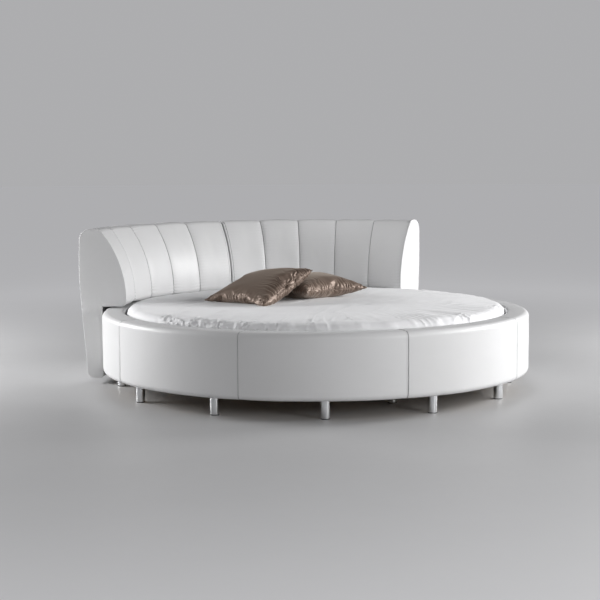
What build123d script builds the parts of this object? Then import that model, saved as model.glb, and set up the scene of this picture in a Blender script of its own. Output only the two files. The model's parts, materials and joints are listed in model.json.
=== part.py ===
from build123d import *
from math import atan, cos, degrees, radians, sin, sqrt, tan
import os

# A round upholstered bed, in millimetres. The origin is the centre of the round base on the
# floor, +Z is up, and +Y runs from the centre to the middle of the headboard.

# Overall sizes
mattress_radius = 1046
mattress_gap = 16
mattress_thickness = 189
mattress_stand = 27
mattress_crown = 25
rim_width = 118
rim_height = 328
floor_clearance = 100
headboard_rise = 445
headboard_half_span = 59

# Upholstery of the rim
leather = 2
top_padding = 13
side_padding = 15
inner_padding = 2
rim_top_round = 28
rim_bottom_round = 25
rim_inner_round = 13
inner_cover_drop = 128
hem_width = 20
panel_count = 9
panel_span = 41
first_seam = 58.4
seam_gap = 0.6

# Timber of the rim
outer_wall_thickness = 18
inner_wall_thickness = 15
board_thickness = 18
board_reach = 36
rib_thickness = 15
rib_shares = (0.25, 0.75)
panels_per_segment = 3
joint_gap = 0.5

# Legs
base_turn = 3.5
leg_count = 12
leg_set_in = 95
inner_leg_reach = 740
leg_radius = 24
leg_wall = 2
pad_thickness = 4
pad_plug_height = 12
leg_plate_radius = 40
leg_plate_thickness = 3
inner_plate_length = 104
inner_plate_side_gap = 1
leg_bolt_spacing = 78
screw_circle = 32
screw_radius = 2.5
screw_length = 14
screw_head_radius = 4.5
screw_head_height = 2.5
screws_per_leg = 3

# Fasteners of the frame
bolt_radius = 4
bolt_head_radius = 7.5
bolt_head_height = 5
bolt_hole_clearance = 0.3
nut_radius = 7
nut_height = 6

# Slatted base
slat_thickness = 10
slat_width = 62
slat_pitch = 95
slat_end_margin = 6
saddle_base = 3
saddle_wall = 3
saddle_lip = 6
saddle_length = 34
slat_rail_height = 37
slat_rail_width = 38
slat_rail_gap = 8
half_gap = 3
ledge_width = 42
ledge_height = 25

# Centre beam and its brackets
beam_width = 60
beam_height = 40
beam_wall = 3
beam_end_gap = 0.8
beam_notch_clearance = 2
steel_thickness = 4
bracket_width = 90
bracket_seat_length = 50
bracket_drop = 36
bracket_bolt_spacing = 56
joint_plate_half_length = 60
joint_plate_margin = 8
joint_bolt_spacing = 70
joint_bolt_rise = 28

# Headboard
overhang = 114
overhang_gap = 12
leg_gap = 24
back_reach = 151
back_top_set_in = 9
back_foot_set_in = 46
back_crest = 190
foot_clearance = 33
front_lean = 38.4
front_bow_start = 40
front_bow_share = 0.985
front_bottom_round = 28
front_top_round = 45
back_top_round = 62
back_bow_radius = 2600
back_bow_limit_share = 0.9
foot_back_round = 35
foot_front_round = 15
half_gap_width = 10
channel_count = 5
channel_depth = 9
channel_foam = 60
top_foam = 45
pad_back_margin = 70
pad_floor = 28
board_ply = 9
cover_padding = 14
end_panel_thickness = 10
headboard_rib_thickness = 18
channel_angle_shares = (0, 0.16, 0.5, 0.84, 1)
channel_inset_shares = (1, 0.24, 0, 0.24, 1)

# Bolts and spacers between the headboard and the rim
bolted_channels = (2, 4)
link_bolt_radius = 5
link_bolt_heights = (190, 330)
link_head_radius = 9
link_head_height = 6
spacer_radius = 14
spacer_end_gap = 0.1

# Mattress
cover_thickness = 6
sheet_thickness = 1.5
mattress_bottom_round = 22
mattress_top_round = 52
sheet_hem_height = 12
rest_gap = 0.3

# Scatter cushions: the half side of each seam, the bellies above and below it, and how they lie
cushion_rise = 86
cushion_level_shares = (-1, -0.93, -0.75, -0.48, -0.18, 0, 0.18, 0.48, 0.75, 0.93, 1)
cushion_reach_shares = (0.18, 0.42, 0.66, 0.83, 0.95, 1, 0.95, 0.83, 0.66, 0.42, 0.18)
cushion_side_shares = (1.38, 1.28, 1.14, 1.03, 0.96, 0.93, 0.96, 1.03, 1.14, 1.28, 1.38)
right_cushion_half_side = 243
right_cushion_place = (32, 144)
right_cushion_turn = 14.4
right_cushion_height = 50
right_cushion_sink = 60
left_cushion_half_side = 221
left_cushion_place = (-322, 60)
left_cushion_turn = 22.2
left_cushion_tilt = -21
left_cushion_height = 87
left_cushion_sink = 54

# One overrun for every cut
overrun = 5

full_turn = 360

# Heights and radii that follow from the sizes above
rim_inner = mattress_radius + mattress_gap
rim_outer = rim_inner + rim_width
rim_top = floor_clearance + rim_height
leg_circle = rim_outer - leg_set_in
wall_outer_face = rim_outer - leather - side_padding
wall_inner_face = rim_inner + leather + inner_padding
timber_bottom = floor_clearance + leather
timber_top = rim_top - leather - top_padding
wall_bottom = timber_bottom + board_thickness
wall_top = timber_top - board_thickness
top_shoulder = rim_outer - rim_top_round
bottom_shoulder = rim_outer - rim_bottom_round
cover_hem_height = rim_top - inner_cover_drop
mattress_top = rim_top + mattress_stand
mattress_bottom = mattress_top - mattress_thickness
slat_top = mattress_bottom - rest_gap
slat_bottom = slat_top - slat_thickness
rail_top = slat_bottom - saddle_base
ledge_top = rail_top - slat_rail_height
ledge_bottom = ledge_top - ledge_height
beam_bottom = ledge_top - beam_height
bolt_hole_radius = bolt_radius + bolt_hole_clearance

# How a cylinder or a box stands on its place, or hangs from it
standing = (Align.CENTER, Align.CENTER, Align.MIN)
hanging = (Align.CENTER, Align.CENTER, Align.MAX)


def radial_plane(angle):
    """Plane through the bed's axis: its X runs outwards at an angle and its Y runs up."""
    turn = radians(angle)
    return Plane((0, 0, 0), x_dir=(cos(turn), sin(turn), 0), z_dir=(sin(turn), -cos(turn), 0))


def outward_plane(angle, radius, height):
    """Plane that faces outwards from the bed's axis, for round cuts and bolts."""
    turn = radians(angle)
    place = (radius * cos(turn), radius * sin(turn), height)
    return Plane(place, x_dir=(-sin(turn), cos(turn), 0), z_dir=(cos(turn), sin(turn), 0))


def turned_plane(height, half_turn=0):
    """Level plane whose Y runs along the centre beam."""
    turn = radians(base_turn + half_turn)
    return Plane((0, 0, height), x_dir=(cos(turn), sin(turn), 0), z_dir=(0, 0, 1))


def section(angle, corners):
    """Face on a radial plane. Each corner is its radius, its height and its rounding."""
    with BuildSketch(radial_plane(angle)) as outline:
        with BuildLine():
            FilletPolyline(
                *[(radius, height) for radius, height, rounding in corners],
                radius=[rounding for radius, height, rounding in corners],
                close=True,
            )
        make_face()
    return outline.sketch


def arc_of(length, radius):
    """Angle in degrees that a length takes up at a radius."""
    return degrees(length / radius)


def finish(piece, name):
    """Label a finished piece and write it."""
    piece.part.label = name
    export_step(piece.part, f"parts/{name}.step")


# The seams of the rim's cover, and the timber segments that start at every third seam
panel_starts = [first_seam + panel_span * index for index in range(panel_count)]
panel_ends = panel_starts[1:] + [first_seam + full_turn]
segments = [
    (panel_starts[index], panel_ends[index + panels_per_segment - 1])
    for index in range(0, panel_count, panels_per_segment)
]
joint_angle_gap = arc_of(joint_gap, rim_outer)
seam_angle_gap = arc_of(seam_gap, rim_outer)

# The headboard's two halves: side 1 is the left half, side -1 the right
half_gap_angle = arc_of(half_gap_width / 2, rim_outer)
end_panel_angle = arc_of(end_panel_thickness, rim_outer)
channel_span = (headboard_half_span - half_gap_angle - 2 * end_panel_angle) / channel_count
first_channel = half_gap_angle + end_panel_angle
link_angles = [
    90 + side * (first_channel + (channel - 0.5) * channel_span)
    for side in (1, -1)
    for channel in bolted_channels
]
link_places = [(angle, height) for angle in link_angles for height in link_bolt_heights]
link_hole_radius = link_bolt_radius + bolt_hole_clearance
leg_front = rim_outer + leg_gap


def bore_links(inner_face, outer_face):
    """Cut the headboard bolts' holes through what lies between two radii."""
    depth = outer_face - inner_face + 2 * overrun
    for angle, height in link_places:
        with Locations(outward_plane(angle, inner_face - overrun, height)):
            Cylinder(link_hole_radius, depth, align=standing, mode=Mode.SUBTRACT)


# Rim timber: two walls between two boards, in three segments
outer_wall_section = [
    (wall_outer_face - outer_wall_thickness, wall_bottom, 0),
    (wall_outer_face, wall_bottom, 0),
    (wall_outer_face, wall_top, 0),
    (wall_outer_face - outer_wall_thickness, wall_top, 0),
]
inner_wall_section = [
    (wall_inner_face, wall_bottom, 0),
    (wall_inner_face + inner_wall_thickness, wall_bottom, 0),
    (wall_inner_face + inner_wall_thickness, wall_top, 0),
    (wall_inner_face, wall_top, 0),
]
top_board_section = [
    (wall_inner_face, wall_top, 0),
    (top_shoulder, wall_top, 0),
    (top_shoulder, timber_top, 0),
    (wall_inner_face, timber_top, 0),
]
bottom_board_section = [
    (wall_inner_face - board_reach, timber_bottom, 0),
    (bottom_shoulder, timber_bottom, 0),
    (bottom_shoulder, wall_bottom, 0),
    (wall_inner_face - board_reach, wall_bottom, 0),
]
rib_section = [
    (wall_inner_face + inner_wall_thickness, wall_bottom, 0),
    (wall_outer_face - outer_wall_thickness, wall_bottom, 0),
    (wall_outer_face - outer_wall_thickness, wall_top, 0),
    (wall_inner_face + inner_wall_thickness, wall_top, 0),
]
ledge_section = [
    (wall_inner_face - ledge_width, ledge_bottom, 0),
    (wall_inner_face, ledge_bottom, 0),
    (wall_inner_face, ledge_top, 0),
    (wall_inner_face - ledge_width, ledge_top, 0),
]

# Bolts through the inner wall: four at each joining plate and two at each beam bracket
joint_plate_bottom = wall_bottom + joint_plate_margin
joint_plate_top = ledge_bottom - joint_plate_margin
joint_plate_middle = (joint_plate_bottom + joint_plate_top) / 2
bracket_top = ledge_bottom - joint_gap
bracket_bottom = beam_bottom - steel_thickness - bracket_drop
plate_face = wall_inner_face - steel_thickness
joint_bolt_angle = arc_of(joint_bolt_spacing / 2, plate_face)
bracket_bolt_angle = arc_of(bracket_bolt_spacing / 2, plate_face)
beam_angles = (base_turn + 90, base_turn + 270)
joint_bolt_places = [
    outward_plane(start + aside, plate_face, joint_plate_middle + rise)
    for start, end in segments
    for aside in (-joint_bolt_angle, joint_bolt_angle)
    for rise in (-joint_bolt_rise / 2, joint_bolt_rise / 2)
]
bracket_bolt_places = [
    outward_plane(angle + aside, plate_face, bracket_bottom + bracket_drop / 2)
    for angle in beam_angles
    for aside in (-bracket_bolt_angle, bracket_bolt_angle)
]
wall_bolt_places = joint_bolt_places + bracket_bolt_places
wall_bolt_grip = steel_thickness + inner_wall_thickness

with BuildPart() as rim_outer_walls:
    for start, end in segments:
        revolve(section(start, outer_wall_section), Axis.Z, end - start - joint_angle_gap)
    bore_links(wall_outer_face - outer_wall_thickness, wall_outer_face)
finish(rim_outer_walls, "rim_outer_walls")

with BuildPart() as rim_inner_walls:
    for start, end in segments:
        revolve(section(start, inner_wall_section), Axis.Z, end - start - joint_angle_gap)
    with Locations(*wall_bolt_places):
        Cylinder(bolt_hole_radius, wall_bolt_grip + overrun, align=standing, mode=Mode.SUBTRACT)
finish(rim_inner_walls, "rim_inner_walls")

with BuildPart() as rim_top_boards:
    for start, end in segments:
        revolve(section(start, top_board_section), Axis.Z, end - start - joint_angle_gap)
finish(rim_top_boards, "rim_top_boards")

with BuildPart() as rim_bottom_boards:
    for start, end in segments:
        revolve(section(start, bottom_board_section), Axis.Z, end - start - joint_angle_gap)
    with BuildSketch(Plane.XY.offset(timber_bottom)):
        with PolarLocations(leg_circle, leg_count, base_turn):
            with PolarLocations(screw_circle, screws_per_leg):
                Circle(screw_radius)
    extrude(amount=screw_length, mode=Mode.SUBTRACT)
finish(rim_bottom_boards, "rim_bottom_boards")

# Ribs: two in each cover panel's span, and one at each end of each timber segment
rib_radius = (wall_inner_face + wall_outer_face) / 2
rib_span = arc_of(rib_thickness, rib_radius)
rib_starts = []
for start, end in zip(panel_starts, panel_ends):
    rib_starts += [start + (end - start) * share - rib_span / 2 for share in rib_shares]
for start, end in segments:
    rib_starts += [start, end - joint_angle_gap - rib_span]
with BuildPart() as rim_ribs:
    for start in rib_starts:
        revolve(section(start, rib_section), Axis.Z, rib_span)
finish(rim_ribs, "rim_ribs")

with BuildPart() as ledge_strips:
    for start, end in segments:
        revolve(section(start, ledge_section), Axis.Z, end - start - joint_angle_gap)
    with BuildSketch(turned_plane(ledge_bottom - overrun)):
        Rectangle(beam_width + 2 * beam_notch_clearance, 2 * rim_outer)
    extrude(amount=ledge_height + 2 * overrun, mode=Mode.SUBTRACT)
finish(ledge_strips, "ledge_strips")

# Joining plates and the centre beam with its brackets
with BuildPart() as joint_plates:
    plate_section = [
        (plate_face, joint_plate_bottom, 0),
        (wall_inner_face, joint_plate_bottom, 0),
        (wall_inner_face, joint_plate_top, 0),
        (plate_face, joint_plate_top, 0),
    ]
    plate_half_angle = arc_of(joint_plate_half_length, wall_inner_face)
    for start, end in segments:
        revolve(section(start - plate_half_angle, plate_section), Axis.Z, 2 * plate_half_angle)
    with Locations(*joint_bolt_places):
        Cylinder(bolt_hole_radius, 2 * steel_thickness + overrun, mode=Mode.SUBTRACT)
finish(joint_plates, "joint_plates")

with BuildPart() as beam_brackets:
    upright_section = [
        (plate_face, bracket_bottom, 0),
        (wall_inner_face, bracket_bottom, 0),
        (wall_inner_face, bracket_top, 0),
        (plate_face, bracket_top, 0),
    ]
    bracket_half_angle = arc_of(bracket_width / 2, wall_inner_face)
    for angle in beam_angles:
        face = section(angle - bracket_half_angle, upright_section)
        revolve(face, Axis.Z, 2 * bracket_half_angle)
    for half_turn in (0, 180):
        seat_middle = plate_face - bracket_seat_length / 2 + joint_gap
        with Locations(turned_plane(beam_bottom, half_turn) * Location((0, seat_middle, 0))):
            Box(beam_width, bracket_seat_length, steel_thickness, align=hanging)
            Box(steel_thickness, bracket_seat_length, bracket_drop + steel_thickness, align=hanging)
    with Locations(*bracket_bolt_places):
        Cylinder(bolt_hole_radius, 2 * steel_thickness + overrun, mode=Mode.SUBTRACT)
finish(beam_brackets, "beam_brackets")

beam_half_length = plate_face - beam_end_gap
inner_leg_places = [(0, reach) for reach in (-inner_leg_reach, 0, inner_leg_reach)]
leg_bolt_places = [
    (0, reach + aside)
    for across, reach in inner_leg_places
    for aside in (-leg_bolt_spacing / 2, leg_bolt_spacing / 2)
]
with BuildPart() as centre_beam:
    with BuildSketch(turned_plane(beam_bottom)):
        Rectangle(beam_width, 2 * beam_half_length)
    extrude(amount=beam_height)
    fillet(centre_beam.edges().filter_by(lambda edge: edge.length > beam_half_length), beam_wall)
    with BuildSketch(turned_plane(beam_bottom + beam_wall)):
        Rectangle(beam_width - 2 * beam_wall, 2 * beam_half_length + overrun)
    extrude(amount=beam_height - 2 * beam_wall, mode=Mode.SUBTRACT)
    with BuildSketch(turned_plane(beam_bottom - overrun)):
        with Locations(*leg_bolt_places):
            Circle(bolt_hole_radius)
    extrude(amount=overrun + beam_wall + overrun, mode=Mode.SUBTRACT)
finish(centre_beam, "centre_beam")

# Legs: chrome tubes under welded plates, on plastic pads
with BuildPart() as outer_legs:
    with BuildSketch(Plane.XY.offset(pad_thickness)):
        with PolarLocations(leg_circle, leg_count, base_turn):
            Circle(leg_radius)
            Circle(leg_radius - leg_wall, mode=Mode.SUBTRACT)
    extrude(amount=timber_bottom - leg_plate_thickness - pad_thickness)
    with BuildSketch(Plane.XY.offset(timber_bottom - leg_plate_thickness)):
        with PolarLocations(leg_circle, leg_count, base_turn):
            Circle(leg_plate_radius)
            with PolarLocations(screw_circle, screws_per_leg):
                Circle(screw_radius + bolt_hole_clearance, mode=Mode.SUBTRACT)
    extrude(amount=leg_plate_thickness)
finish(outer_legs, "outer_legs")

with BuildPart() as inner_legs:
    with BuildSketch(turned_plane(pad_thickness)):
        with Locations(*inner_leg_places):
            Circle(leg_radius)
            Circle(leg_radius - leg_wall, mode=Mode.SUBTRACT)
    extrude(amount=beam_bottom - leg_plate_thickness - pad_thickness)
    with BuildSketch(turned_plane(beam_bottom - leg_plate_thickness)):
        with Locations(*inner_leg_places):
            Rectangle(beam_width - 2 * inner_plate_side_gap, inner_plate_length)
        with Locations(*leg_bolt_places):
            Circle(bolt_hole_radius, mode=Mode.SUBTRACT)
    extrude(amount=leg_plate_thickness)
finish(inner_legs, "inner_legs")

with BuildPart() as leg_pads:
    for radius, height in (
        (leg_radius, pad_thickness),
        (leg_radius - leg_wall, pad_thickness + pad_plug_height),
    ):
        with BuildSketch(Plane.XY):
            with PolarLocations(leg_circle, leg_count, base_turn):
                Circle(radius)
        extrude(amount=height)
        with BuildSketch(turned_plane(0)):
            with Locations(*inner_leg_places):
                Circle(radius)
        extrude(amount=height)
finish(leg_pads, "leg_pads")

with BuildPart() as leg_screws:
    plate_bottom = timber_bottom - leg_plate_thickness
    for radius, length, height in (
        (screw_radius, leg_plate_thickness + screw_length, plate_bottom),
        (screw_head_radius, screw_head_height, plate_bottom - screw_head_height),
    ):
        with BuildSketch(Plane.XY.offset(height)):
            with PolarLocations(leg_circle, leg_count, base_turn):
                with PolarLocations(screw_circle, screws_per_leg):
                    Circle(radius)
        extrude(amount=length)
finish(leg_screws, "leg_screws")

with BuildPart() as frame_bolts:
    with Locations(*wall_bolt_places):
        Cylinder(bolt_radius, wall_bolt_grip + nut_height, align=standing)
        Cylinder(bolt_head_radius, bolt_head_height, align=hanging)
    nut_places = [place.offset(wall_bolt_grip) for place in wall_bolt_places]
    with Locations(*nut_places):
        Cylinder(nut_radius, nut_height, align=standing)
    head_face = beam_bottom - leg_plate_thickness
    for place in leg_bolt_places:
        with Locations(turned_plane(head_face) * Location(place)):
            Cylinder(bolt_radius, leg_plate_thickness + beam_wall + nut_height, align=standing)
            Cylinder(bolt_head_radius, bolt_head_height, align=hanging)
        with Locations(turned_plane(beam_bottom + beam_wall) * Location(place)):
            Cylinder(nut_radius, nut_height, align=standing)
finish(frame_bolts, "frame_bolts")

# Slatted base: a half-moon frame on each side of the beam's middle
slat_rail_outer = wall_inner_face - slat_rail_gap
slat_steps = int((slat_rail_outer - slat_width) / slat_pitch)
slat_rows = [slat_pitch * step for step in range(-slat_steps, slat_steps + 1)]
slat_start = half_gap + slat_end_margin


def slat_end(row):
    """Reach of a slat from the beam's middle to the round rail, at a row."""
    far_edge = abs(row) + slat_width / 2
    return sqrt((slat_rail_outer - slat_end_margin) ** 2 - far_edge**2)


saddle_places = []
for side, half_turn in (("right", 0), ("left", 180)):
    with BuildPart() as slat_rail:
        with BuildSketch(turned_plane(ledge_top, half_turn)):
            Circle(slat_rail_outer)
            with Locations((half_gap, 0)):
                half_align = (Align.MIN, Align.CENTER)
                Rectangle(rim_outer, 2 * rim_outer, align=half_align, mode=Mode.INTERSECT)
            offset(amount=-slat_rail_width, kind=Kind.INTERSECTION, mode=Mode.SUBTRACT)
        extrude(amount=slat_rail_height)
    finish(slat_rail, f"slat_rail_{side}")

    with BuildPart() as slats:
        for row in slat_rows:
            length = slat_end(row) - slat_start
            middle = Location((slat_start + length / 2, row, 0))
            with Locations(turned_plane(slat_bottom, half_turn) * middle):
                Box(length, slat_width, slat_thickness, align=standing)
            for reach in (slat_start + saddle_length / 2, slat_end(row) - saddle_length / 2):
                saddle_places.append(turned_plane(rail_top, half_turn) * Location((reach, row, 0)))
    finish(slats, f"slats_{side}")

with BuildPart() as slat_saddles:
    with Locations(*saddle_places):
        Box(saddle_length, slat_width + 2 * saddle_wall, saddle_base + saddle_lip, align=standing)
    with Locations(*[place * Location((0, 0, saddle_base)) for place in saddle_places]):
        groove_length = saddle_length + overrun
        Box(groove_length, slat_width, saddle_lip + overrun, align=standing, mode=Mode.SUBTRACT)
finish(slat_saddles, "slat_saddles")

# Rim padding and its sewn cover
foam_section = [
    (rim_inner + leather, cover_hem_height, 0),
    (rim_inner + leather, rim_top - leather, rim_inner_round - leather),
    (rim_outer - leather, rim_top - leather, rim_top_round - leather),
    (rim_outer - leather, timber_bottom, rim_bottom_round - leather),
    (bottom_shoulder, timber_bottom, 0),
    (bottom_shoulder, wall_bottom, 0),
    (wall_outer_face, wall_bottom, 0),
    (wall_outer_face, wall_top, 0),
    (top_shoulder, wall_top, 0),
    (top_shoulder, timber_top, 0),
    (wall_inner_face, timber_top, 0),
    (wall_inner_face, cover_hem_height, 0),
]
rim_cover_section = [
    (rim_inner, cover_hem_height, 0),
    (rim_inner, rim_top, rim_inner_round),
    (rim_outer, rim_top, rim_top_round),
    (rim_outer, floor_clearance, rim_bottom_round),
    (bottom_shoulder - hem_width, floor_clearance, 0),
    (bottom_shoulder - hem_width, timber_bottom, 0),
    (rim_outer - leather, timber_bottom, rim_bottom_round - leather),
    (rim_outer - leather, rim_top - leather, rim_top_round - leather),
    (rim_inner + leather, rim_top - leather, rim_inner_round - leather),
    (rim_inner + leather, cover_hem_height, 0),
]
with BuildPart() as rim_foam:
    for start, end in segments:
        revolve(section(start, foam_section), Axis.Z, end - start - joint_angle_gap)
    bore_links(wall_outer_face, rim_outer)
finish(rim_foam, "rim_foam")

for number, (start, end) in enumerate(zip(panel_starts, panel_ends), 1):
    with BuildPart() as rim_cover:
        revolve(section(start, rim_cover_section), Axis.Z, end - start - seam_angle_gap)
        bore_links(rim_outer - leather, rim_outer)
    finish(rim_cover, f"rim_cover_{number}")

# Headboard section: the front leans back in one bow, and the back hangs down behind the rim
front_face = rim_outer - overhang
underside = rim_top + overhang_gap
headboard_top = rim_top + headboard_rise
back_face = rim_outer + back_reach
lean = radians(front_lean)
bow_height = headboard_rise - front_bow_start - front_top_round
front_bow_radius = front_top_round + bow_height / sin(lean)
bow_corner = rim_top + front_bow_start + front_bow_radius * tan(lean / 2)
back_top_straight = headboard_rise - back_crest
back_foot_straight = rim_top + back_crest - foot_clearance
back_turn = atan(back_top_set_in / back_top_straight) + atan(back_foot_set_in / back_foot_straight)
back_bow_run = back_top_straight - max(top_foam, back_top_round)
back_bow_limit = back_bow_limit_share * back_bow_run / tan(back_turn / 2)
back_bow = min(back_bow_radius, back_bow_limit)
pad_back = back_face - pad_back_margin
pad_top = headboard_top - top_foam
pad_bottom = underside + pad_floor


def bow_point(inset):
    """Corner of the front's bow, drawn in by an inset."""
    rounding = front_bow_share * (front_bow_radius - inset)
    return (front_face + inset, bow_corner - inset * tan(lean / 2), rounding)


def lean_reach(inset, height):
    """Radius of the leaning front, drawn in by an inset, at a height."""
    radius, corner_height, rounding = bow_point(inset)
    return radius + (height - corner_height) * tan(lean)


def back_reach_at(inset, height):
    """Radius of the back between its crest and its top, drawn in by an inset, at a height."""
    share = (height - rim_top - back_crest) / back_top_straight
    return back_face - inset - back_top_set_in * share


def front_corners(inset):
    """Corners of the front from the underside to the top, drawn in by an inset."""
    top = headboard_top - inset
    return [
        (front_face + inset, underside, front_bottom_round - inset),
        bow_point(inset),
        (lean_reach(inset, top), top, front_top_round - inset),
    ]


def back_corners(inset, foot_rounding):
    """Corners of the back from its crest to its foot, drawn in by an inset."""
    return [
        (back_face - inset, rim_top + back_crest, back_bow - inset),
        (back_face - back_foot_set_in - inset, foot_clearance + inset, foot_rounding),
    ]


board_inset = channel_foam + board_ply
back_inset = cover_padding + board_ply
channel_hidden_corners = [
    (pad_back, pad_top, 0),
    (lean_reach(channel_foam, pad_top), pad_top, 0),
    bow_point(channel_foam),
    (front_face + channel_foam, pad_bottom, 0),
    (leg_front, pad_bottom, 0),
]
front_board_section = [
    (front_face + channel_foam, pad_bottom, 0),
    bow_point(channel_foam),
    (lean_reach(channel_foam, pad_top), pad_top, 0),
    (lean_reach(board_inset, pad_top), pad_top, 0),
    bow_point(board_inset),
    (front_face + board_inset, pad_bottom, 0),
]
back_board_section = [
    (back_reach_at(cover_padding, pad_top), pad_top, 0),
    *back_corners(cover_padding, 0),
    (back_face - back_foot_set_in - back_inset, foot_clearance + cover_padding, 0),
    (back_face - back_inset, rim_top + back_crest, back_bow - back_inset),
    (back_reach_at(back_inset, pad_top), pad_top, 0),
]
leg_board_section = [
    (leg_front + cover_padding, foot_clearance + cover_padding, 0),
    (leg_front + back_inset, foot_clearance + cover_padding, 0),
    (leg_front + back_inset, pad_bottom, 0),
    (leg_front + cover_padding, pad_bottom, 0),
]
headboard_rib_section = [
    (front_face + board_inset, pad_bottom, 0),
    bow_point(board_inset),
    (lean_reach(board_inset, pad_top), pad_top, 0),
    (back_reach_at(back_inset, pad_top), pad_top, 0),
    (back_face - back_inset, rim_top + back_crest, back_bow - back_inset),
    (back_face - back_foot_set_in - back_inset, foot_clearance + cover_padding, 0),
    (leg_front + back_inset, foot_clearance + cover_padding, 0),
    (leg_front + back_inset, pad_bottom, 0),
]
back_cover_section = [
    (pad_back, headboard_top, 0),
    (back_face - back_top_set_in, headboard_top, back_top_round),
    *back_corners(0, foot_back_round),
    (leg_front, foot_clearance, foot_front_round),
    (leg_front, pad_bottom, 0),
    (leg_front + cover_padding, pad_bottom, 0),
    (leg_front + cover_padding, foot_clearance + cover_padding, 0),
    (back_face - back_foot_set_in - cover_padding, foot_clearance + cover_padding, 0),
    (back_face - cover_padding, rim_top + back_crest, back_bow - cover_padding),
    (back_reach_at(cover_padding, pad_top), pad_top, 0),
    (pad_back, pad_top, 0),
]
end_panel_section = [
    *front_corners(0),
    (back_face - back_top_set_in, headboard_top, back_top_round),
    *back_corners(0, foot_back_round),
    (leg_front, foot_clearance, foot_front_round),
    (leg_front, underside, 0),
]

rib_angle = arc_of(headboard_rib_thickness, leg_front)
first_channel_end = first_channel + channel_count * channel_span
rib_middles = [first_channel + index * channel_span for index in range(1, channel_count)]
headboard_rib_starts = [first_channel, first_channel_end - rib_angle]
headboard_rib_starts += [middle - rib_angle / 2 for middle in rib_middles]
with BuildPart() as headboard_ribs:
    for side in (1, -1):
        for start in headboard_rib_starts:
            face = section(90 + side * start, headboard_rib_section)
            revolve(face, Axis.Z, side * rib_angle)
finish(headboard_ribs, "headboard_ribs")

for side, half in ((1, "left"), (-1, "right")):
    inner_edge = 90 + side * first_channel
    channels_span = side * channel_count * channel_span

    with BuildPart() as front_board:
        revolve(section(inner_edge, front_board_section), Axis.Z, channels_span)
    finish(front_board, f"headboard_front_board_{half}")

    with BuildPart() as back_board:
        revolve(section(inner_edge, back_board_section), Axis.Z, channels_span)
    finish(back_board, f"headboard_back_board_{half}")

    with BuildPart() as leg_board:
        revolve(section(inner_edge, leg_board_section), Axis.Z, channels_span)
        bore_links(leg_front + cover_padding, leg_front + back_inset)
    finish(leg_board, f"headboard_leg_board_{half}")

    with BuildPart() as back_cover:
        revolve(section(inner_edge, back_cover_section), Axis.Z, channels_span)
        bore_links(leg_front, leg_front + cover_padding)
    finish(back_cover, f"headboard_back_cover_{half}")

    for number in range(1, channel_count + 1):
        channel_start = first_channel + (number - 1) * channel_span
        faces = []
        for angle_share, inset_share in zip(channel_angle_shares, channel_inset_shares):
            inset = channel_depth * inset_share
            corners = [
                (leg_front, underside, 0),
                *front_corners(inset),
                (pad_back, headboard_top - inset, 0),
                *channel_hidden_corners,
            ]
            angle = channel_start + angle_share * channel_span
            faces.append(section(90 + side * angle, corners))
        with BuildPart() as channel:
            loft(faces)
        finish(channel, f"headboard_channel_{half}_{number}")

    ends = (("inner", half_gap_angle), ("outer", first_channel_end))
    for end_name, end_start in ends:
        with BuildPart() as end_panel:
            face = section(90 + side * end_start, end_panel_section)
            revolve(face, Axis.Z, side * end_panel_angle)
        finish(end_panel, f"headboard_{end_name}_end_{half}")

# Bolts and spacers that hold the headboard to the rim
nut_face = wall_outer_face - outer_wall_thickness - link_head_height - spacer_end_gap
link_head_face = leg_front + back_inset
with BuildPart() as headboard_bolts:
    for angle, height in link_places:
        with Locations(outward_plane(angle, nut_face, height)):
            Cylinder(link_bolt_radius, link_head_face - nut_face, align=standing)
            Cylinder(link_head_radius, link_head_height, align=standing)
        with Locations(outward_plane(angle, link_head_face, height)):
            Cylinder(link_head_radius, link_head_height, align=standing)
finish(headboard_bolts, "headboard_bolts")

with BuildPart() as headboard_spacers:
    for angle, height in link_places:
        with Locations(outward_plane(angle, rim_outer, height)):
            Cylinder(spacer_radius, leg_gap - spacer_end_gap, align=standing)
    bore_links(rim_outer, leg_front)
finish(headboard_spacers, "headboard_spacers")

# Mattress: core, cover, base panel and fitted sheet, domed towards the middle
dome_reach = mattress_radius - mattress_top_round
dome_radius = (dome_reach**2 + mattress_crown**2) / (2 * mattress_crown)
dome_half_drop = dome_radius - sqrt(dome_radius**2 - (dome_reach / 2) ** 2)


def mattress_face(inset, bottom, bottom_round):
    """Half section of the domed mattress, drawn in by an inset above a bottom height."""
    radius = mattress_radius - inset
    top = mattress_top - inset
    rounding = mattress_top_round - inset
    quarter = rounding * (1 - cos(radians(45)))
    with BuildSketch(Plane.XZ) as outline:
        with BuildLine():
            Line((0, top + mattress_crown), (0, bottom))
            if bottom_round > 0:
                FilletPolyline(
                    (0, bottom), (radius, bottom), (radius, top - rounding), radius=bottom_round
                )
            else:
                Polyline((0, bottom), (radius, bottom), (radius, top - rounding))
            ThreePointArc(
                (radius, top - rounding), (radius - quarter, top - quarter), (dome_reach, top)
            )
            ThreePointArc(
                (dome_reach, top),
                (dome_reach / 2, top + mattress_crown - dome_half_drop),
                (0, top + mattress_crown),
            )
        make_face()
    return outline.sketch


core_bottom = mattress_bottom + cover_thickness
core_round = mattress_bottom_round - cover_thickness
with BuildPart() as mattress_core:
    revolve(mattress_face(cover_thickness, core_bottom, core_round), Axis.Z)
finish(mattress_core, "mattress_core")

with BuildPart() as mattress_cover:
    revolve(mattress_face(0, mattress_bottom, mattress_bottom_round), Axis.Z)
    core_face = mattress_face(cover_thickness, core_bottom, core_round)
    revolve(core_face, Axis.Z, mode=Mode.SUBTRACT)
    with BuildSketch(Plane.XY.offset(mattress_bottom)):
        Circle(mattress_radius - mattress_bottom_round)
    extrude(amount=cover_thickness, mode=Mode.SUBTRACT)
finish(mattress_cover, "mattress_cover")

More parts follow.
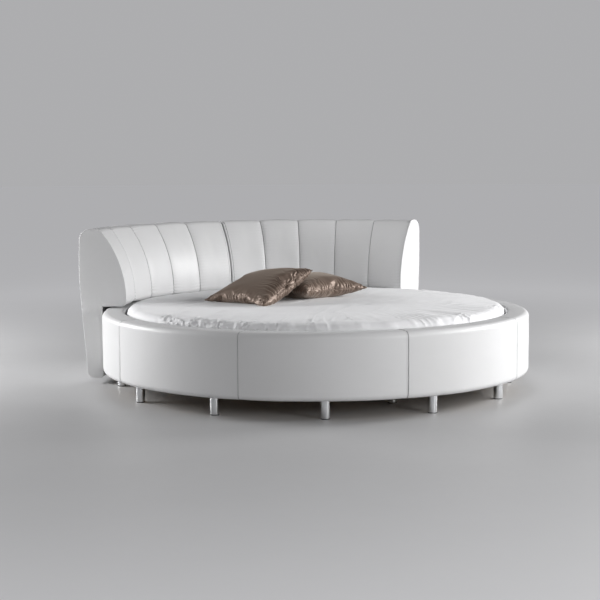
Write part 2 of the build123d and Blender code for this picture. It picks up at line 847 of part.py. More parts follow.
with BuildPart() as mattress_base_panel:
    with BuildSketch(Plane.XY.offset(mattress_bottom)):
        Circle(mattress_radius - mattress_bottom_round)
    extrude(amount=cover_thickness)
finish(mattress_base_panel, "mattress_base_panel")

sheet_hem = mattress_bottom + mattress_bottom_round + sheet_hem_height
with BuildPart() as fitted_sheet:
    revolve(mattress_face(-rest_gap - sheet_thickness, sheet_hem, 0), Axis.Z)
    revolve(mattress_face(-rest_gap, sheet_hem, 0), Axis.Z, mode=Mode.SUBTRACT)
finish(fitted_sheet, "fitted_sheet")

# Scatter cushions: a belly above and below a seam whose sides are drawn in
sheet_top = mattress_top + mattress_crown + rest_gap + sheet_thickness
cushion_floor = sheet_top + rest_gap


def cushion_sections(seam_plane, half_side, sink):
    """Faces of a cushion from its lower belly to its upper one, along its seam plane's normal."""
    faces = []
    for level, reach, side in zip(cushion_level_shares, cushion_reach_shares, cushion_side_shares):
        height = level * (cushion_rise if level > 0 else sink)
        corner = half_side * reach
        corners = [(corner, corner), (-corner, corner), (-corner, -corner), (corner, -corner)]
        with BuildSketch(seam_plane.offset(height)) as outline:
            with BuildLine():
                for first, second in zip(corners, corners[1:] + corners[:1]):
                    middle = tuple((a + b) / 2 * side for a, b in zip(first, second))
                    ThreePointArc(first, middle, second)
            make_face()
        faces.append(outline.sketch)
    return faces


right_level = Plane((*right_cushion_place, sheet_top + right_cushion_height))
right_seam = right_level.rotated((0, 0, right_cushion_turn))
left_level = Plane((*left_cushion_place, sheet_top + left_cushion_height))
left_seam = left_level.rotated((0, left_cushion_tilt, 0)).rotated((0, 0, left_cushion_turn))

with BuildPart() as cushion_right:
    loft(cushion_sections(right_seam, right_cushion_half_side, right_cushion_sink), ruled=True)
    with BuildSketch(Plane.XY.offset(cushion_floor)):
        Circle(mattress_radius)
    extrude(amount=-right_cushion_sink, mode=Mode.SUBTRACT)
finish(cushion_right, "cushion_right")

# The left cushion leans on the right one
with BuildPart() as cushion_left:
    loft(cushion_sections(left_seam, left_cushion_half_side, left_cushion_sink), ruled=True)
    with BuildSketch(Plane.XY.offset(cushion_floor)):
        Circle(mattress_radius)
    extrude(amount=-left_cushion_sink, mode=Mode.SUBTRACT)
finish(cushion_left, "cushion_left")
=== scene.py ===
"""Looks of a round upholstered bed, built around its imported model.

The origin is the centre of the round base on the floor, +Z is up and +Y runs from the centre to
the middle of the headboard. Every length is in metres and every angle in radians unless a name
says degrees.
"""

import json
import logging
import math
from collections.abc import Sequence
from dataclasses import dataclass
from enum import Enum

import bpy
import numpy as np
from mathutils import Matrix, Vector

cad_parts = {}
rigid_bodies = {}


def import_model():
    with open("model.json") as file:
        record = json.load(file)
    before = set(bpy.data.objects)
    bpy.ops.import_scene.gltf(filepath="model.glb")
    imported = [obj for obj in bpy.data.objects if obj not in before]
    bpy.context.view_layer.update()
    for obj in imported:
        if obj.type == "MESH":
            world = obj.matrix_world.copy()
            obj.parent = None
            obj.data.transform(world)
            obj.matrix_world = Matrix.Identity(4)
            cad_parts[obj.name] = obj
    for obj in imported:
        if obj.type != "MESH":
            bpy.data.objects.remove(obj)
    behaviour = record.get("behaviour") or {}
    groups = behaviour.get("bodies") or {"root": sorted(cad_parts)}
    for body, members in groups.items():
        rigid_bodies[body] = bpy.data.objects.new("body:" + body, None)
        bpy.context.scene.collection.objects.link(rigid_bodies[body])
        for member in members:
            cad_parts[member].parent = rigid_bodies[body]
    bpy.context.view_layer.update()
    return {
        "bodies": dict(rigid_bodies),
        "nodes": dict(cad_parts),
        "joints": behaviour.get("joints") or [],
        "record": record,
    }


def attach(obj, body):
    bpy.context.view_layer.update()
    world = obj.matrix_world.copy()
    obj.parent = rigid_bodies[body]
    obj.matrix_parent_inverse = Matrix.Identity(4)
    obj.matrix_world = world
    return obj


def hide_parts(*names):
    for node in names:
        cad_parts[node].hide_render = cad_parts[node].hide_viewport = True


LOG = logging.getLogger("round_bed")
SEAM = "seam"
MM = 0.001
SAME_POINT = 1e-7

Place = tuple[float, float, float]
Corner = tuple[float, float, float]
Colour = tuple[float, float, float]


class Body(Enum):
    """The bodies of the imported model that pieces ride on."""

    FRAME = "bed_frame"
    MATTRESS = "mattress"
    LEFT_CUSHION = "cushion_left"
    RIGHT_CUSHION = "cushion_right"


class Slot(Enum):
    """The record's material slots, listed by name; no piece takes its finish from them here."""

    LEATHER = "white_leather"
    TICKING = "ticking"
    SHEET = "sheet"
    SATIN = "brown_satin"


class Side(Enum):
    """The headboard's halves: the sign of the turn from +Y."""

    LEFT = 1
    RIGHT = -1

    @property
    def word(self) -> str:
        """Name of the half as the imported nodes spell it."""
        return self.name.lower()


# ---------------------------------------------------------------- surfaces


def smooth_noise(x: np.ndarray, y: np.ndarray, seed: int) -> np.ndarray:
    """Soft random relief: random heights on a unit lattice, blended with smooth steps.

    Args:
        x: First coordinate, in cells.
        y: Second coordinate, in cells.
        seed: Picks the random heights.

    Returns:
        Values from -1 to 1 with the shape of x and y together.
    """
    size = 128
    heights = np.random.default_rng(seed).uniform(-1, 1, (size, size))
    x, y = np.broadcast_arrays(np.asarray(x, float), np.asarray(y, float))
    column, row = np.floor(x).astype(int), np.floor(y).astype(int)
    across, along = x - column, y - row
    across = across * across * (3 - 2 * across)
    along = along * along * (3 - 2 * along)
    left, right = column % size, (column + 1) % size
    low, high = row % size, (row + 1) % size
    bottom = heights[left, low] * (1 - across) + heights[right, low] * across
    top = heights[left, high] * (1 - across) + heights[right, high] * across
    return bottom * (1 - along) + top * along


@dataclass(frozen=True)
class Noise:
    """Soft random relief of one size: its height, the lengths of its cells, seed and shift."""

    height: float
    cells: tuple[float, float]
    seed: int = 0
    shift: tuple[float, float] = (0, 0)

    def at(self, x: np.ndarray, y: np.ndarray, seed: int = 0) -> np.ndarray:
        """Relief at two coordinates.

        Args:
            x: First coordinate, as a length.
            y: Second coordinate.
            seed: Number added to the noise's own seed.

        Returns:
            Values from minus the height to the height.
        """
        x, y = x / self.cells[0] + self.shift[0], y / self.cells[1] + self.shift[1]
        return self.height * smooth_noise(x, y, self.seed + seed)


def smooth_step(value: np.ndarray, low: float, high: float) -> np.ndarray:
    """Rise from 0 at low to 1 at high with flat ends; low may be the larger one."""
    share = np.clip((value - low) / (high - low), 0, 1)
    return share * share * (3 - 2 * share)


def bump(value: np.ndarray, middle: float, width: float) -> np.ndarray:
    """Bell curve round a middle."""
    return np.exp(-(((value - middle) / width) ** 2))


def rounded_path(corners: Sequence[Corner], step: float, reach: float) -> np.ndarray:
    """Outline whose corners are rounded by circles that touch both of their runs.

    Args:
        corners: Radius, height and rounding of each corner; the first and last stay sharp.
        step: Spacing of the points on the roundings.
        reach: Largest spacing of the points on the straight runs.

    Returns:
        Points (n, 2) from the first corner to the last.
    """
    places = np.array([corner[:2] for corner in corners], float)
    parts = [places[:1]]
    for before, here, after, (_, _, rounding) in zip(places, places[1:], places[2:], corners[1:]):
        if rounding <= 0:
            parts.append(here[None])
            continue
        back = (before - here) / np.linalg.norm(before - here)
        ahead = (after - here) / np.linalg.norm(after - here)
        half = math.acos(float(np.clip(back @ ahead, -1, 1))) / 2
        middle = back + ahead
        centre = here + middle / np.linalg.norm(middle) * rounding / math.sin(half)
        first = here + back * rounding / math.tan(half) - centre
        last = here + ahead * rounding / math.tan(half) - centre
        start = math.atan2(first[1], first[0])
        sweep = (math.atan2(last[1], last[0]) - start + math.pi) % (2 * math.pi) - math.pi
        count = max(3, math.ceil(abs(sweep) * rounding / step) + 1)
        turn = start + sweep * np.linspace(0, 1, count)
        parts.append(centre + rounding * np.stack([np.cos(turn), np.sin(turn)], axis=1))
    parts.append(places[-1:])
    path = np.concatenate(parts)
    gaps = np.linalg.norm(np.diff(path, axis=0), axis=1)
    apart = gaps > SAME_POINT
    path, gaps = path[np.concatenate([[True], apart])], gaps[apart]
    runs = [
        np.linspace(first, last, max(1, math.ceil(gap / reach)), endpoint=False)
        for first, last, gap in zip(path, path[1:], gaps)
    ]
    return np.concatenate([*runs, path[-1:]])


def lengths_along(path: np.ndarray) -> np.ndarray:
    """Distance of each point of a path from its start, along the path."""
    return np.concatenate([[0], np.cumsum(np.linalg.norm(np.diff(path, axis=0), axis=1))])


def at_lengths(places: np.ndarray, along: np.ndarray, line: np.ndarray) -> np.ndarray:
    """Points (or normals) of a line at some distances from its start."""
    return np.stack([np.interp(places, along, line[:, axis]) for axis in range(3)], axis=1)


def outward(path: np.ndarray) -> np.ndarray:
    """Unit normals of an outline that goes up on its outer side: its tangent turned clockwise."""
    tangent = np.gradient(path, axis=0)
    tangent /= np.linalg.norm(tangent, axis=1)[:, None]
    return np.stack([tangent[:, 1], -tangent[:, 0]], axis=1)


def round_the_axis(radius: np.ndarray, height: np.ndarray, turn: np.ndarray) -> np.ndarray:
    """Points at a radius, a height and an angle about the bed's axis."""
    radius, height, turn = np.broadcast_arrays(radius, height, turn)
    return np.stack([radius * np.cos(turn), radius * np.sin(turn), height], axis=-1)


def carried(path: np.ndarray, turn: np.ndarray) -> np.ndarray:
    """Grid of an outline (rows) carried round the bed's axis to some angles (columns)."""
    return round_the_axis(path[:, :1], path[:, 1:], turn)


def raised(
    path: np.ndarray, normal: np.ndarray, height: np.ndarray, turn: np.ndarray
) -> np.ndarray:
    """Grid of an outline carried round the axis, its points moved out along their normals.

    Args:
        path: Points (n, 2) of the outline.
        normal: Unit normals there.
        height: How far each point of the grid moves.
        turn: Angles, as a row.

    Returns:
        Grid (rows, columns, 3).
    """
    radius = path[:, :1] + normal[:, :1] * height
    return round_the_axis(radius, path[:, 1:] + normal[:, 1:] * height, turn)


def ridge(noise: np.ndarray, width: float) -> np.ndarray:
    """Narrow ridge where a noise passes 0: 1 on it, down to 0 where the noise is past the width."""
    return np.maximum(width - np.abs(noise), 0) / width


def seam_stations(length: float, fine: float, coarse: float, band: float) -> np.ndarray:
    """Places across a sewn panel, close together by its two seams and wider in its middle.

    Args:
        length: Width of the panel.
        fine: Spacing within the band by a seam.
        coarse: Largest spacing.
        band: Width of the closely divided band.

    Returns:
        Rising places from 0 to the length, the same from both seams.
    """
    growth, most = 1.3, 400
    near = np.full(math.ceil(band / fine), fine)
    wider = np.minimum(fine * growth ** np.arange(1, most), coarse)
    places = np.concatenate([[0], np.cumsum(np.concatenate([near, wider]))])
    half = places[places < length / 2 - coarse / 4]
    return np.concatenate([half, [length / 2], (length - half)[::-1]])


def quads(
    rows: int, columns: int, wrap_rows: bool = False, wrap_columns: bool = False
) -> np.ndarray:
    """Corner numbers of a grid's faces, the rows running up and the columns to the left.

    Args:
        rows: Points along the first parameter.
        columns: Points along the second one.
        wrap_rows: Whether the last row joins the first.
        wrap_columns: Whether the last column joins the first.

    Returns:
        Faces (n, 4) that turn anticlockwise seen from outside.
    """
    row = np.arange(rows if wrap_rows else rows - 1)[:, None]
    column = np.arange(columns if wrap_columns else columns - 1)[None, :]
    next_row, next_column = (row + 1) % rows, (column + 1) % columns
    corners = [
        row * columns + column,
        row * columns + next_column,
        next_row * columns + next_column,
        next_row * columns + column,
    ]
    return np.stack(np.broadcast_arrays(*corners), axis=-1).reshape(-1, 4)


def signed_volume(points: np.ndarray, faces: list[list[int]]) -> float:
    """Six times the volume inside closed faces, below 0 where they point inwards."""
    total = 0.0
    sizes = np.array([len(face) for face in faces])
    for size in np.unique(sizes):
        corners = points[np.array([face for face in faces if len(face) == size])]
        for second in range(1, size - 1):
            turned = np.cross(corners[:, second], corners[:, second + 1])
            total += float((corners[:, 0] * turned).sum())
    return total


def put_mesh(
    name: str,
    points: np.ndarray,
    faces: list[list[int]],
    closed: bool = True,
    seam: np.ndarray | None = None,
    sharp_degrees: float = 50,
) -> bpy.types.Object:
    """Make an object of worked-out points and faces.

    Args:
        name: Name of the piece.
        points: Points in any grid shape, last axis 3.
        faces: Corner numbers of each face.
        closed: Whether the faces close a volume, and so are turned outwards by its sign.
        seam: Closeness of each point to a seam, from 0 to 1, for the finishes' painted shade in the
            seams.
        sharp_degrees: Edges that bend more than this stay sharp.

    Returns:
        The object, at the origin, with smooth faces.
    """
    points = points.reshape(-1, 3)
    if closed and signed_volume(points, faces) < 0:
        faces = [face[::-1] for face in faces]
    mesh = bpy.data.meshes.new(name)
    mesh.from_pydata(points.tolist(), [], faces)
    mesh.polygons.foreach_set("use_smooth", np.ones(len(mesh.polygons), bool))
    mesh.set_sharp_from_angle(angle=math.radians(sharp_degrees))
    if seam is not None:
        layer = mesh.attributes.new(SEAM, "FLOAT", "POINT")
        layer.data.foreach_set("value", seam.astype(np.float32).ravel())
    mesh.update()
    piece = bpy.data.objects.new(name, mesh)
    bpy.context.scene.collection.objects.link(piece)
    return piece


def put_loop(
    name: str, skin: np.ndarray, lining: np.ndarray, seam: np.ndarray
) -> bpy.types.Object:
    """Make a closed piece of leather: its skin, and its lining joined to both edges.

    Args:
        name: Name of the piece.
        skin: Grid (rows, columns, 3) of the seen side.
        lining: Grid of the hidden side, whose rows run on from the skin's last back to its first.
        seam: Closeness to a seam at each point of the skin, where the finish paints shade.

    Returns:
        The object, with a flat face at each end of the rows.
    """
    points = np.concatenate([skin, lining])
    rows, columns = points.shape[:2]
    faces = quads(rows, columns, wrap_rows=True).tolist()
    first = np.arange(rows) * columns
    faces += [first.tolist(), (first + columns - 1)[::-1].tolist()]
    mark = np.concatenate([seam, np.zeros(lining.shape[:2])])
    return put_mesh(name, points, faces, seam=mark)


def put_rings(name: str, points: np.ndarray) -> bpy.types.Object:
    """Make a closed piece of rings (rows), with a flat face in the first and in the last."""
    rows, columns = points.shape[:2]
    faces = quads(rows, columns, wrap_columns=True).tolist()
    ring = np.arange(columns)
    faces += [ring[::-1].tolist(), (ring + (rows - 1) * columns).tolist()]
    return put_mesh(name, points, faces)


def put_tube(
    name: str, line: np.ndarray, normal: np.ndarray, aside: np.ndarray, radius: float
) -> bpy.types.Object:
    """Make a round cord along a closed line: a circle carried in the plane of two directions.

    Args:
        name: Name of the piece.
        line: Points (n, 3) of the cord's middle.
        normal: Unit direction at each point.
        aside: Second unit direction at each point, square to the first.
        radius: Radius of the cord.

    Returns:
        The object.
    """
    sides = 10
    turn = np.linspace(0, 2 * math.pi, sides, endpoint=False)[:, None, None]
    points = line + radius * (np.cos(turn) * normal + np.sin(turn) * aside)
    faces = quads(sides, len(line), wrap_rows=True, wrap_columns=True).tolist()
    return put_mesh(name, points, faces)


# ---------------------------------------------------------------- finishes


class Tree:
    """Short way to lay out a node tree."""

    def __init__(self, tree: bpy.types.NodeTree, fresh: bool = True) -> None:
        """Keep the tree.

        Args:
            tree: Node tree of a material, a world or a group.
            fresh: Whether it is emptied first.
        """
        self.tree = tree
        if fresh:
            tree.nodes.clear()

    def add(
        self, kind: str, inputs: dict[str | int, object] | None = None, **settings: object
    ) -> bpy.types.Node:
        """Add a node.

        Args:
            kind: Type of the node.
            inputs: Values or sockets for its inputs.
            **settings: Its other properties.

        Returns:
            The node.
        """
        node = self.tree.nodes.new(kind)
        for key, value in settings.items():
            setattr(node, key, value)
        for key, value in (inputs or {}).items():
            if isinstance(value, bpy.types.NodeSocket):
                self.tree.links.new(value, node.inputs[key])
            else:
                node.inputs[key].default_value = value
        return node

    def sum(
        self, operation: str, first: object, second: object = 0.0, third: object = 0.0
    ) -> bpy.types.NodeSocket:
        """Add one step of arithmetic.

        Args:
            operation: Name of the operation.
            first: Value or socket.
            second: Value or socket.
            third: Value or socket.

        Returns:
            The result's socket.
        """
        node = self.add("ShaderNodeMath", {0: first, 1: second, 2: third}, operation=operation)
        return node.outputs[0]

    def blend(self, share: object, first: object, second: object) -> bpy.types.NodeSocket:
        """Mix two colours.

        Args:
            share: Value or socket, 0 for the first colour and 1 for the second.
            first: Colour or socket.
            second: Colour or socket.

        Returns:
            The mixed colour's socket.
        """
        node = self.add("ShaderNodeMix", {0: share, 6: first, 7: second}, data_type="RGBA")
        return node.outputs[2]

    def noise(
        self,
        place: bpy.types.NodeSocket,
        scale: object,
        detail: float,
        roughness: float = 0.5,
        distortion: float = 0.0,
    ) -> bpy.types.NodeSocket:
        """Add a soft noise.

        Args:
            place: Coordinates that it reads.
            scale: Value or socket.
            detail: Number of finer layers.
            roughness: Share of each finer layer.
            distortion: How far the pattern is stirred.

        Returns:
            The noise's socket.
        """
        inputs = {"Vector": place, "Scale": scale, "Detail": detail}
        inputs |= {"Roughness": roughness, "Distortion": distortion}
        return self.add("ShaderNodeTexNoise", inputs).outputs[0]

    def ramp(
        self, value: bpy.types.NodeSocket, low: float, high: float, **settings: object
    ) -> bpy.types.NodeSocket:
        """Add a rise from 0 at a low value to 1 at a high one."""
        inputs = {"Value": value, "From Min": low, "From Max": high}
        return self.add("ShaderNodeMapRange", inputs, **settings).outputs[0]

    def object_place(self) -> bpy.types.NodeSocket:
        """Add the object's own coordinates."""
        return self.add("ShaderNodeTexCoord").outputs["Object"]


class Effect:
    """A shader node group with named inputs and outputs, built once and shared."""

    def __init__(self, name: str, inputs: dict[str, str], outputs: dict[str, str]) -> None:
        """Make the group's sockets.

        Args:
            name: Name of the group.
            inputs: Kind of each input.
            outputs: Kind of each output.
        """
        self.group = bpy.data.node_groups.new(name, "ShaderNodeTree")
        for way, labels in (("INPUT", inputs), ("OUTPUT", outputs)):
            for label, kind in labels.items():
                socket_type = f"NodeSocket{kind}"
                self.group.interface.new_socket(label, in_out=way, socket_type=socket_type)
        self.tree = Tree(self.group)
        self.given = self.tree.add("NodeGroupInput").outputs
        self.result = self.tree.add("NodeGroupOutput").inputs

    def give(self, label: str, socket: bpy.types.NodeSocket) -> None:
        """Join a socket to one of the group's outputs.

        Args:
            label: Name of the output.
            socket: What it puts out.
        """
        self.group.links.new(socket, self.result[label])


def rgba(colour: Colour) -> tuple[float, float, float, float]:
    """Colour with full cover."""
    return (*colour, 1.0)


class Effects:
    """The shared effects, each made the first time that a finish asks for it."""

    made: dict[str, bpy.types.NodeTree] = {}

    @classmethod
    def add(cls, tree: Tree, name: str, inputs: dict[str, object]) -> bpy.types.Node:
        """Put an effect in a tree.

        Args:
            tree: The finish's tree.
            name: Name of the method that builds the effect.
            inputs: Value or socket for each of its inputs.

        Returns:
            The effect's node.
        """
        if name not in cls.made:
            cls.made[name] = getattr(cls, name)().group
        return tree.add("ShaderNodeGroup", inputs, node_tree=cls.made[name])

    @staticmethod
    def hide_grain() -> Effect:
        """Pebbled grain of a hide: rounded cells with fine pores between them."""
        effect = Effect("hide grain", {"Place": "Vector", "Cells": "Float"}, {"Height": "Float"})
        tree, given = effect.tree, effect.given
        cells = tree.add(
            "ShaderNodeTexVoronoi",
            {"Vector": given["Place"], "Scale": given["Cells"], "Randomness": 0.9},
            feature="DISTANCE_TO_EDGE",
        )
        steep = tree.sum("MULTIPLY", cells.outputs["Distance"], 3.0)
        edge = tree.sum("SMOOTH_MIN", steep, 0.7, 0.3)
        fine = tree.noise(given["Place"], tree.sum("MULTIPLY", given["Cells"], 2.4), 2.0)
        effect.give("Height", tree.sum("MULTIPLY_ADD", fine, 0.35, edge))
        return effect

    @staticmethod
    def tone_drift() -> Effect:
        """Slow change from one colour to another over the surface, with a finer change on it."""
        inputs = {"Place": "Vector", "Colour": "Color", "Other": "Color"}
        inputs |= {"Scale": "Float", "Share": "Float"}
        effect = Effect("tone drift", inputs, {"Colour": "Color"})
        tree, given = effect.tree, effect.given
        drift = tree.noise(given["Place"], given["Scale"], 4.0, 0.55)
        share = tree.sum("MULTIPLY", tree.ramp(drift, 0.3, 0.7), given["Share"])
        effect.give("Colour", tree.blend(share, given["Colour"], given["Other"]))
        return effect

    @staticmethod
    def seam_painted_shade() -> Effect:
        """Painted shade: a darker line in the groove of a seam, read from the piece's own closeness
        to it.
        """
        inputs = {"Colour": "Color", "Soil": "Color", "Seam": "Float", "Share": "Float"}
        effect = Effect("seam painted shade", inputs, {"Colour": "Color"})
        tree, given = effect.tree, effect.given
        # Painted shade: the closer to the seam, the more the colour turns to the darker grey.
        share = tree.sum("MULTIPLY", given["Seam"], given["Share"])
        effect.give("Colour", tree.blend(share, given["Colour"], given["Soil"]))
        return effect

    @staticmethod
    def cloth_weave() -> Effect:
        """Plain weave: two sets of threads that cross over and under each other."""
        inputs = {"Place": "Vector", "Threads": "Float", "Slub": "Float"}
        effect = Effect("cloth weave", inputs, {"Height": "Float"})
        tree, given = effect.tree, effect.given
        scale = tree.sum("MULTIPLY", given["Threads"], 0.05)
        waves = [
            tree.add(
                "ShaderNodeTexWave",
                {"Vector": given["Place"], "Scale": scale, "Distortion": 0.4},
                wave_type="BANDS",
                bands_direction=direction,
            ).outputs["Fac"]
            for direction in ("X", "Y")
        ]
        uneven = tree.sum("MULTIPLY", tree.noise(given["Place"], 90.0, 2.0), given["Slub"])
        effect.give("Height", tree.sum("ADD", tree.sum("MAXIMUM", *waves), uneven))
        return effect

    @staticmethod
    def handling() -> Effect:
        """Uneven gloss from use: a level that a soft noise moves up and down."""
        inputs = {"Place": "Vector", "Level": "Float", "Spread": "Float", "Scale": "Float"}
        effect = Effect("handling", inputs, {"Value": "Float"})
        tree, given = effect.tree, effect.given
        noise = tree.noise(given["Place"], given["Scale"], 5.0, 0.6)
        shift = tree.sum("MULTIPLY", tree.sum("SUBTRACT", noise, 0.5), given["Spread"])
        effect.give("Value", tree.sum("ADD", shift, given["Level"]))
        return effect

    @staticmethod
    def timber_grain() -> Effect:
        """Long growth lines along X with fine pores in them."""
        inputs = {"Place": "Vector", "Light": "Color", "Dark": "Color", "Rings": "Float"}
        effect = Effect("timber grain", inputs, {"Colour": "Color", "Height": "Float"})
        tree, given = effect.tree, effect.given
        stretch = {"Vector": given["Place"], "Scale": (0.12, 1.0, 1.0)}
        stretched = tree.add("ShaderNodeMapping", stretch).outputs[0]
        rings = tree.noise(stretched, given["Rings"], 6.0, distortion=0.6)
        pores = tree.noise(stretched, 420.0, 2.0)
        line = tree.sum("MULTIPLY", tree.ramp(rings, 0.35, 0.65), 0.7)
        share = tree.sum("MULTIPLY_ADD", pores, 0.25, line)
        effect.give("Colour", tree.blend(share, given["Light"], given["Dark"]))
        effect.give("Height", pores)
        return effect


@dataclass(frozen=True)
class Finish:
    """A finish: its shader's own values, with the shared effects that vary it."""

    name: str
    colour: Colour
    other: Colour
    roughness: float
    drift_scale: float = 3.0
    drift_share: float = 0.3
    gloss_spread: float = 0.08
    gloss_scale: float = 14.0
    metallic: float = 0.0
    specular: float = 0.5
    sheen: float = 0.0
    sheen_colour: Colour = (1.0, 1.0, 1.0)
    coat: float = 0.0
    relief: float = 0.2
    relief_height: float = 0.0002

    def place(self, tree: Tree) -> bpy.types.NodeSocket:
        """Coordinates that the finish's relief reads."""
        return tree.object_place()

    def height(self, tree: Tree, place: bpy.types.NodeSocket) -> bpy.types.NodeSocket:
        """Fine relief of the surface: here a soft noise."""
        return tree.noise(place, 900.0, 3.0)

    def tint(self, tree: Tree, place: bpy.types.NodeSocket) -> bpy.types.NodeSocket:
        """Colour over the surface: the two colours in slow drifts."""
        inputs = {"Place": place, "Colour": rgba(self.colour), "Other": rgba(self.other)}
        inputs |= {"Scale": self.drift_scale, "Share": self.drift_share}
        return Effects.add(tree, "tone_drift", inputs).outputs["Colour"]

    def build(self) -> bpy.types.Material:
        """Make the material, or find it where it was made before.

        Returns:
            The material, with one shader whose colour, roughness and normal vary.
        """
        found = bpy.data.materials.get(self.name)
        if found is not None:
            return found
        material = bpy.data.materials.new(self.name)
        material.use_nodes = True
        tree = Tree(material.node_tree)
        place = tree.object_place()
        level = {"Place": place, "Level": self.roughness}
        level |= {"Spread": self.gloss_spread, "Scale": self.gloss_scale}
        gloss = Effects.add(tree, "handling", level)
        height = self.height(tree, self.place(tree))
        bumps = {"Strength": self.relief, "Distance": self.relief_height, "Height": height}
        relief = tree.add("ShaderNodeBump", bumps)
        shader = tree.add(
            "ShaderNodeBsdfPrincipled",
            {
                "Base Color": self.tint(tree, place),
                "Roughness": gloss.outputs["Value"],
                "Normal": relief.outputs[0],
                "Metallic": self.metallic,
                "Specular IOR Level": self.specular,
                "Sheen Weight": self.sheen,
                "Sheen Tint": rgba(self.sheen_colour),
                "Coat Weight": self.coat,
            },
        )
        output = tree.add("ShaderNodeOutputMaterial")
        tree.tree.links.new(shader.outputs[0], output.inputs[0])
        return material


@dataclass(frozen=True)
class Hide(Finish):
    """Smooth upholstery leather: fine pebbled grain, and painted shade in the grooves of its seams.
    """

    grain_cells: float = 620.0
    # Painted shade: the grey that the seams' grooves darken towards, and how far they go.
    soil: Colour = (0.22, 0.22, 0.23)
    painted_shade_share: float = 0.75

    def height(self, tree: Tree, place: bpy.types.NodeSocket) -> bpy.types.NodeSocket:
        """Relief of the grain."""
        inputs = {"Place": place, "Cells": self.grain_cells}
        return Effects.add(tree, "hide_grain", inputs).outputs["Height"]

    def tint(self, tree: Tree, place: bpy.types.NodeSocket) -> bpy.types.NodeSocket:
        """White in slow drifts, with painted shade darkening the seams."""
        seam = tree.add("ShaderNodeAttribute", attribute_name=SEAM).outputs["Fac"]
        inputs = {"Colour": super().tint(tree, place), "Soil": rgba(self.soil)}
        inputs |= {"Seam": seam, "Share": self.painted_shade_share}
        return Effects.add(tree, "seam_painted_shade", inputs).outputs["Colour"]


@dataclass(frozen=True)
class Cloth(Finish):
    """Woven cloth, its weave on the piece's own unrolled coordinates or on the object's."""

    threads: float = 1500.0
    slub: float = 0.3
    unrolled: bool = False

    def place(self, tree: Tree) -> bpy.types.NodeSocket:
        """The weave follows the cloth where the piece is unrolled."""
        if not self.unrolled:
            return super().place(tree)
        return tree.add("ShaderNodeTexCoord").outputs["UV"]

    def height(self, tree: Tree, place: bpy.types.NodeSocket) -> bpy.types.NodeSocket:
        """Relief of the weave."""
        inputs = {"Place": place, "Threads": self.threads, "Slub": self.slub}
        return Effects.add(tree, "cloth_weave", inputs).outputs["Height"]


@dataclass(frozen=True)
class Timber(Finish):
    """Planed wood with growth lines."""

    rings: float = 18.0

    def grain(self, tree: Tree, place: bpy.types.NodeSocket) -> bpy.types.Node:
        """The grain's group node."""
        inputs = {"Place": place, "Light": rgba(self.colour)}
        inputs |= {"Dark": rgba(self.other), "Rings": self.rings}
        return Effects.add(tree, "timber_grain", inputs)

    def height(self, tree: Tree, place: bpy.types.NodeSocket) -> bpy.types.NodeSocket:
        """Relief of the pores."""
        return self.grain(tree, place).outputs["Height"]

    def tint(self, tree: Tree, place: bpy.types.NodeSocket) -> bpy.types.NodeSocket:
        """Colour of the growth lines."""
        return self.grain(tree, place).outputs["Colour"]


@dataclass(frozen=True)
class Ground(Finish):
    """Studio floor that runs out into the tone of the air behind it."""

    far: Colour = (0.37, 0.37, 0.38)
    near_reach: float = 1.2
    far_reach: float = 6.5

    def build(self) -> bpy.types.Material:
        """Make the material, and light its far part for the camera alone."""
        material = super().build()
        tree = Tree(material.node_tree, fresh=False)
        away = tree.add("ShaderNodeVectorMath", {0: tree.object_place()}, operation="LENGTH")
        share = tree.ramp(
            away.outputs["Value"],
            self.near_reach,
            self.far_reach,
            interpolation_type="SMOOTHSTEP",
        )
        seen = tree.add("ShaderNodeLightPath").outputs["Is Camera Ray"]
        glow = tree.blend(tree.sum("MULTIPLY", share, seen), rgba((0, 0, 0)), rgba(self.far))
        shader = material.node_tree.nodes["Principled BSDF"]
        tree.tree.links.new(glow, shader.inputs["Emission Color"])
        shader.inputs["Emission Strength"].default_value = 1.0
        return material


WHITE_LEATHER = Hide("white leather", (0.76, 0.76, 0.765), (0.70, 0.70, 0.69), 0.40, specular=0.45)
THREAD = Finish("stitching thread", (0.70, 0.70, 0.69), (0.6, 0.6, 0.58), 0.6)
COTTON = Cloth(
    "cotton sheet", (0.90, 0.90, 0.91), (0.86, 0.865, 0.88), 0.85, sheen=0.15, threads=2400.0,
    specular=0.2, relief=0.15,
)
TICKING = Cloth(
    "quilted ticking", (0.82, 0.83, 0.84), (0.74, 0.75, 0.77), 0.8, sheen=0.1, threads=1100.0,
    specular=0.2, relief=0.3,
)
SATIN = Cloth(
    "brown satin", (0.205, 0.148, 0.115), (0.16, 0.11, 0.085), 0.44, drift_scale=5.0,
    gloss_spread=0.06, metallic=0.35, specular=0.55, sheen=0.3, sheen_colour=(0.78, 0.68, 0.58),
    threads=2600.0, slub=0.5, unrolled=True, relief=0.2, relief_height=0.0001,
)
CHROME = Finish(
    "chrome plate", (0.80, 0.81, 0.82), (0.74, 0.75, 0.77), 0.07, metallic=1.0, gloss_spread=0.05,
    relief=0.01,
)
BLACK_PLASTIC = Finish("black plastic", (0.03, 0.03, 0.032), (0.045, 0.045, 0.05), 0.5)
ZINC = Finish(
    "zinc plate", (0.60, 0.61, 0.62), (0.5, 0.5, 0.52), 0.32, metallic=1.0, gloss_spread=0.15
)
PAINTED_STEEL = Finish("painted steel", (0.06, 0.06, 0.065), (0.09, 0.09, 0.095), 0.45, relief=0.3)
BEECH = Timber("varnished beech", (0.66, 0.49, 0.31), (0.52, 0.36, 0.21), 0.38, coat=0.25)
PLYWOOD = Timber("birch plywood", (0.68, 0.54, 0.37), (0.56, 0.42, 0.27), 0.6, rings=9.0)
FOAM = Finish("foam", (0.80, 0.76, 0.62), (0.74, 0.69, 0.54), 0.9, relief=0.8, relief_height=0.0006)
PALE_FLOOR = Ground("studio floor", (0.52, 0.52, 0.525), (0.49, 0.49, 0.495), 0.5, specular=0.3)

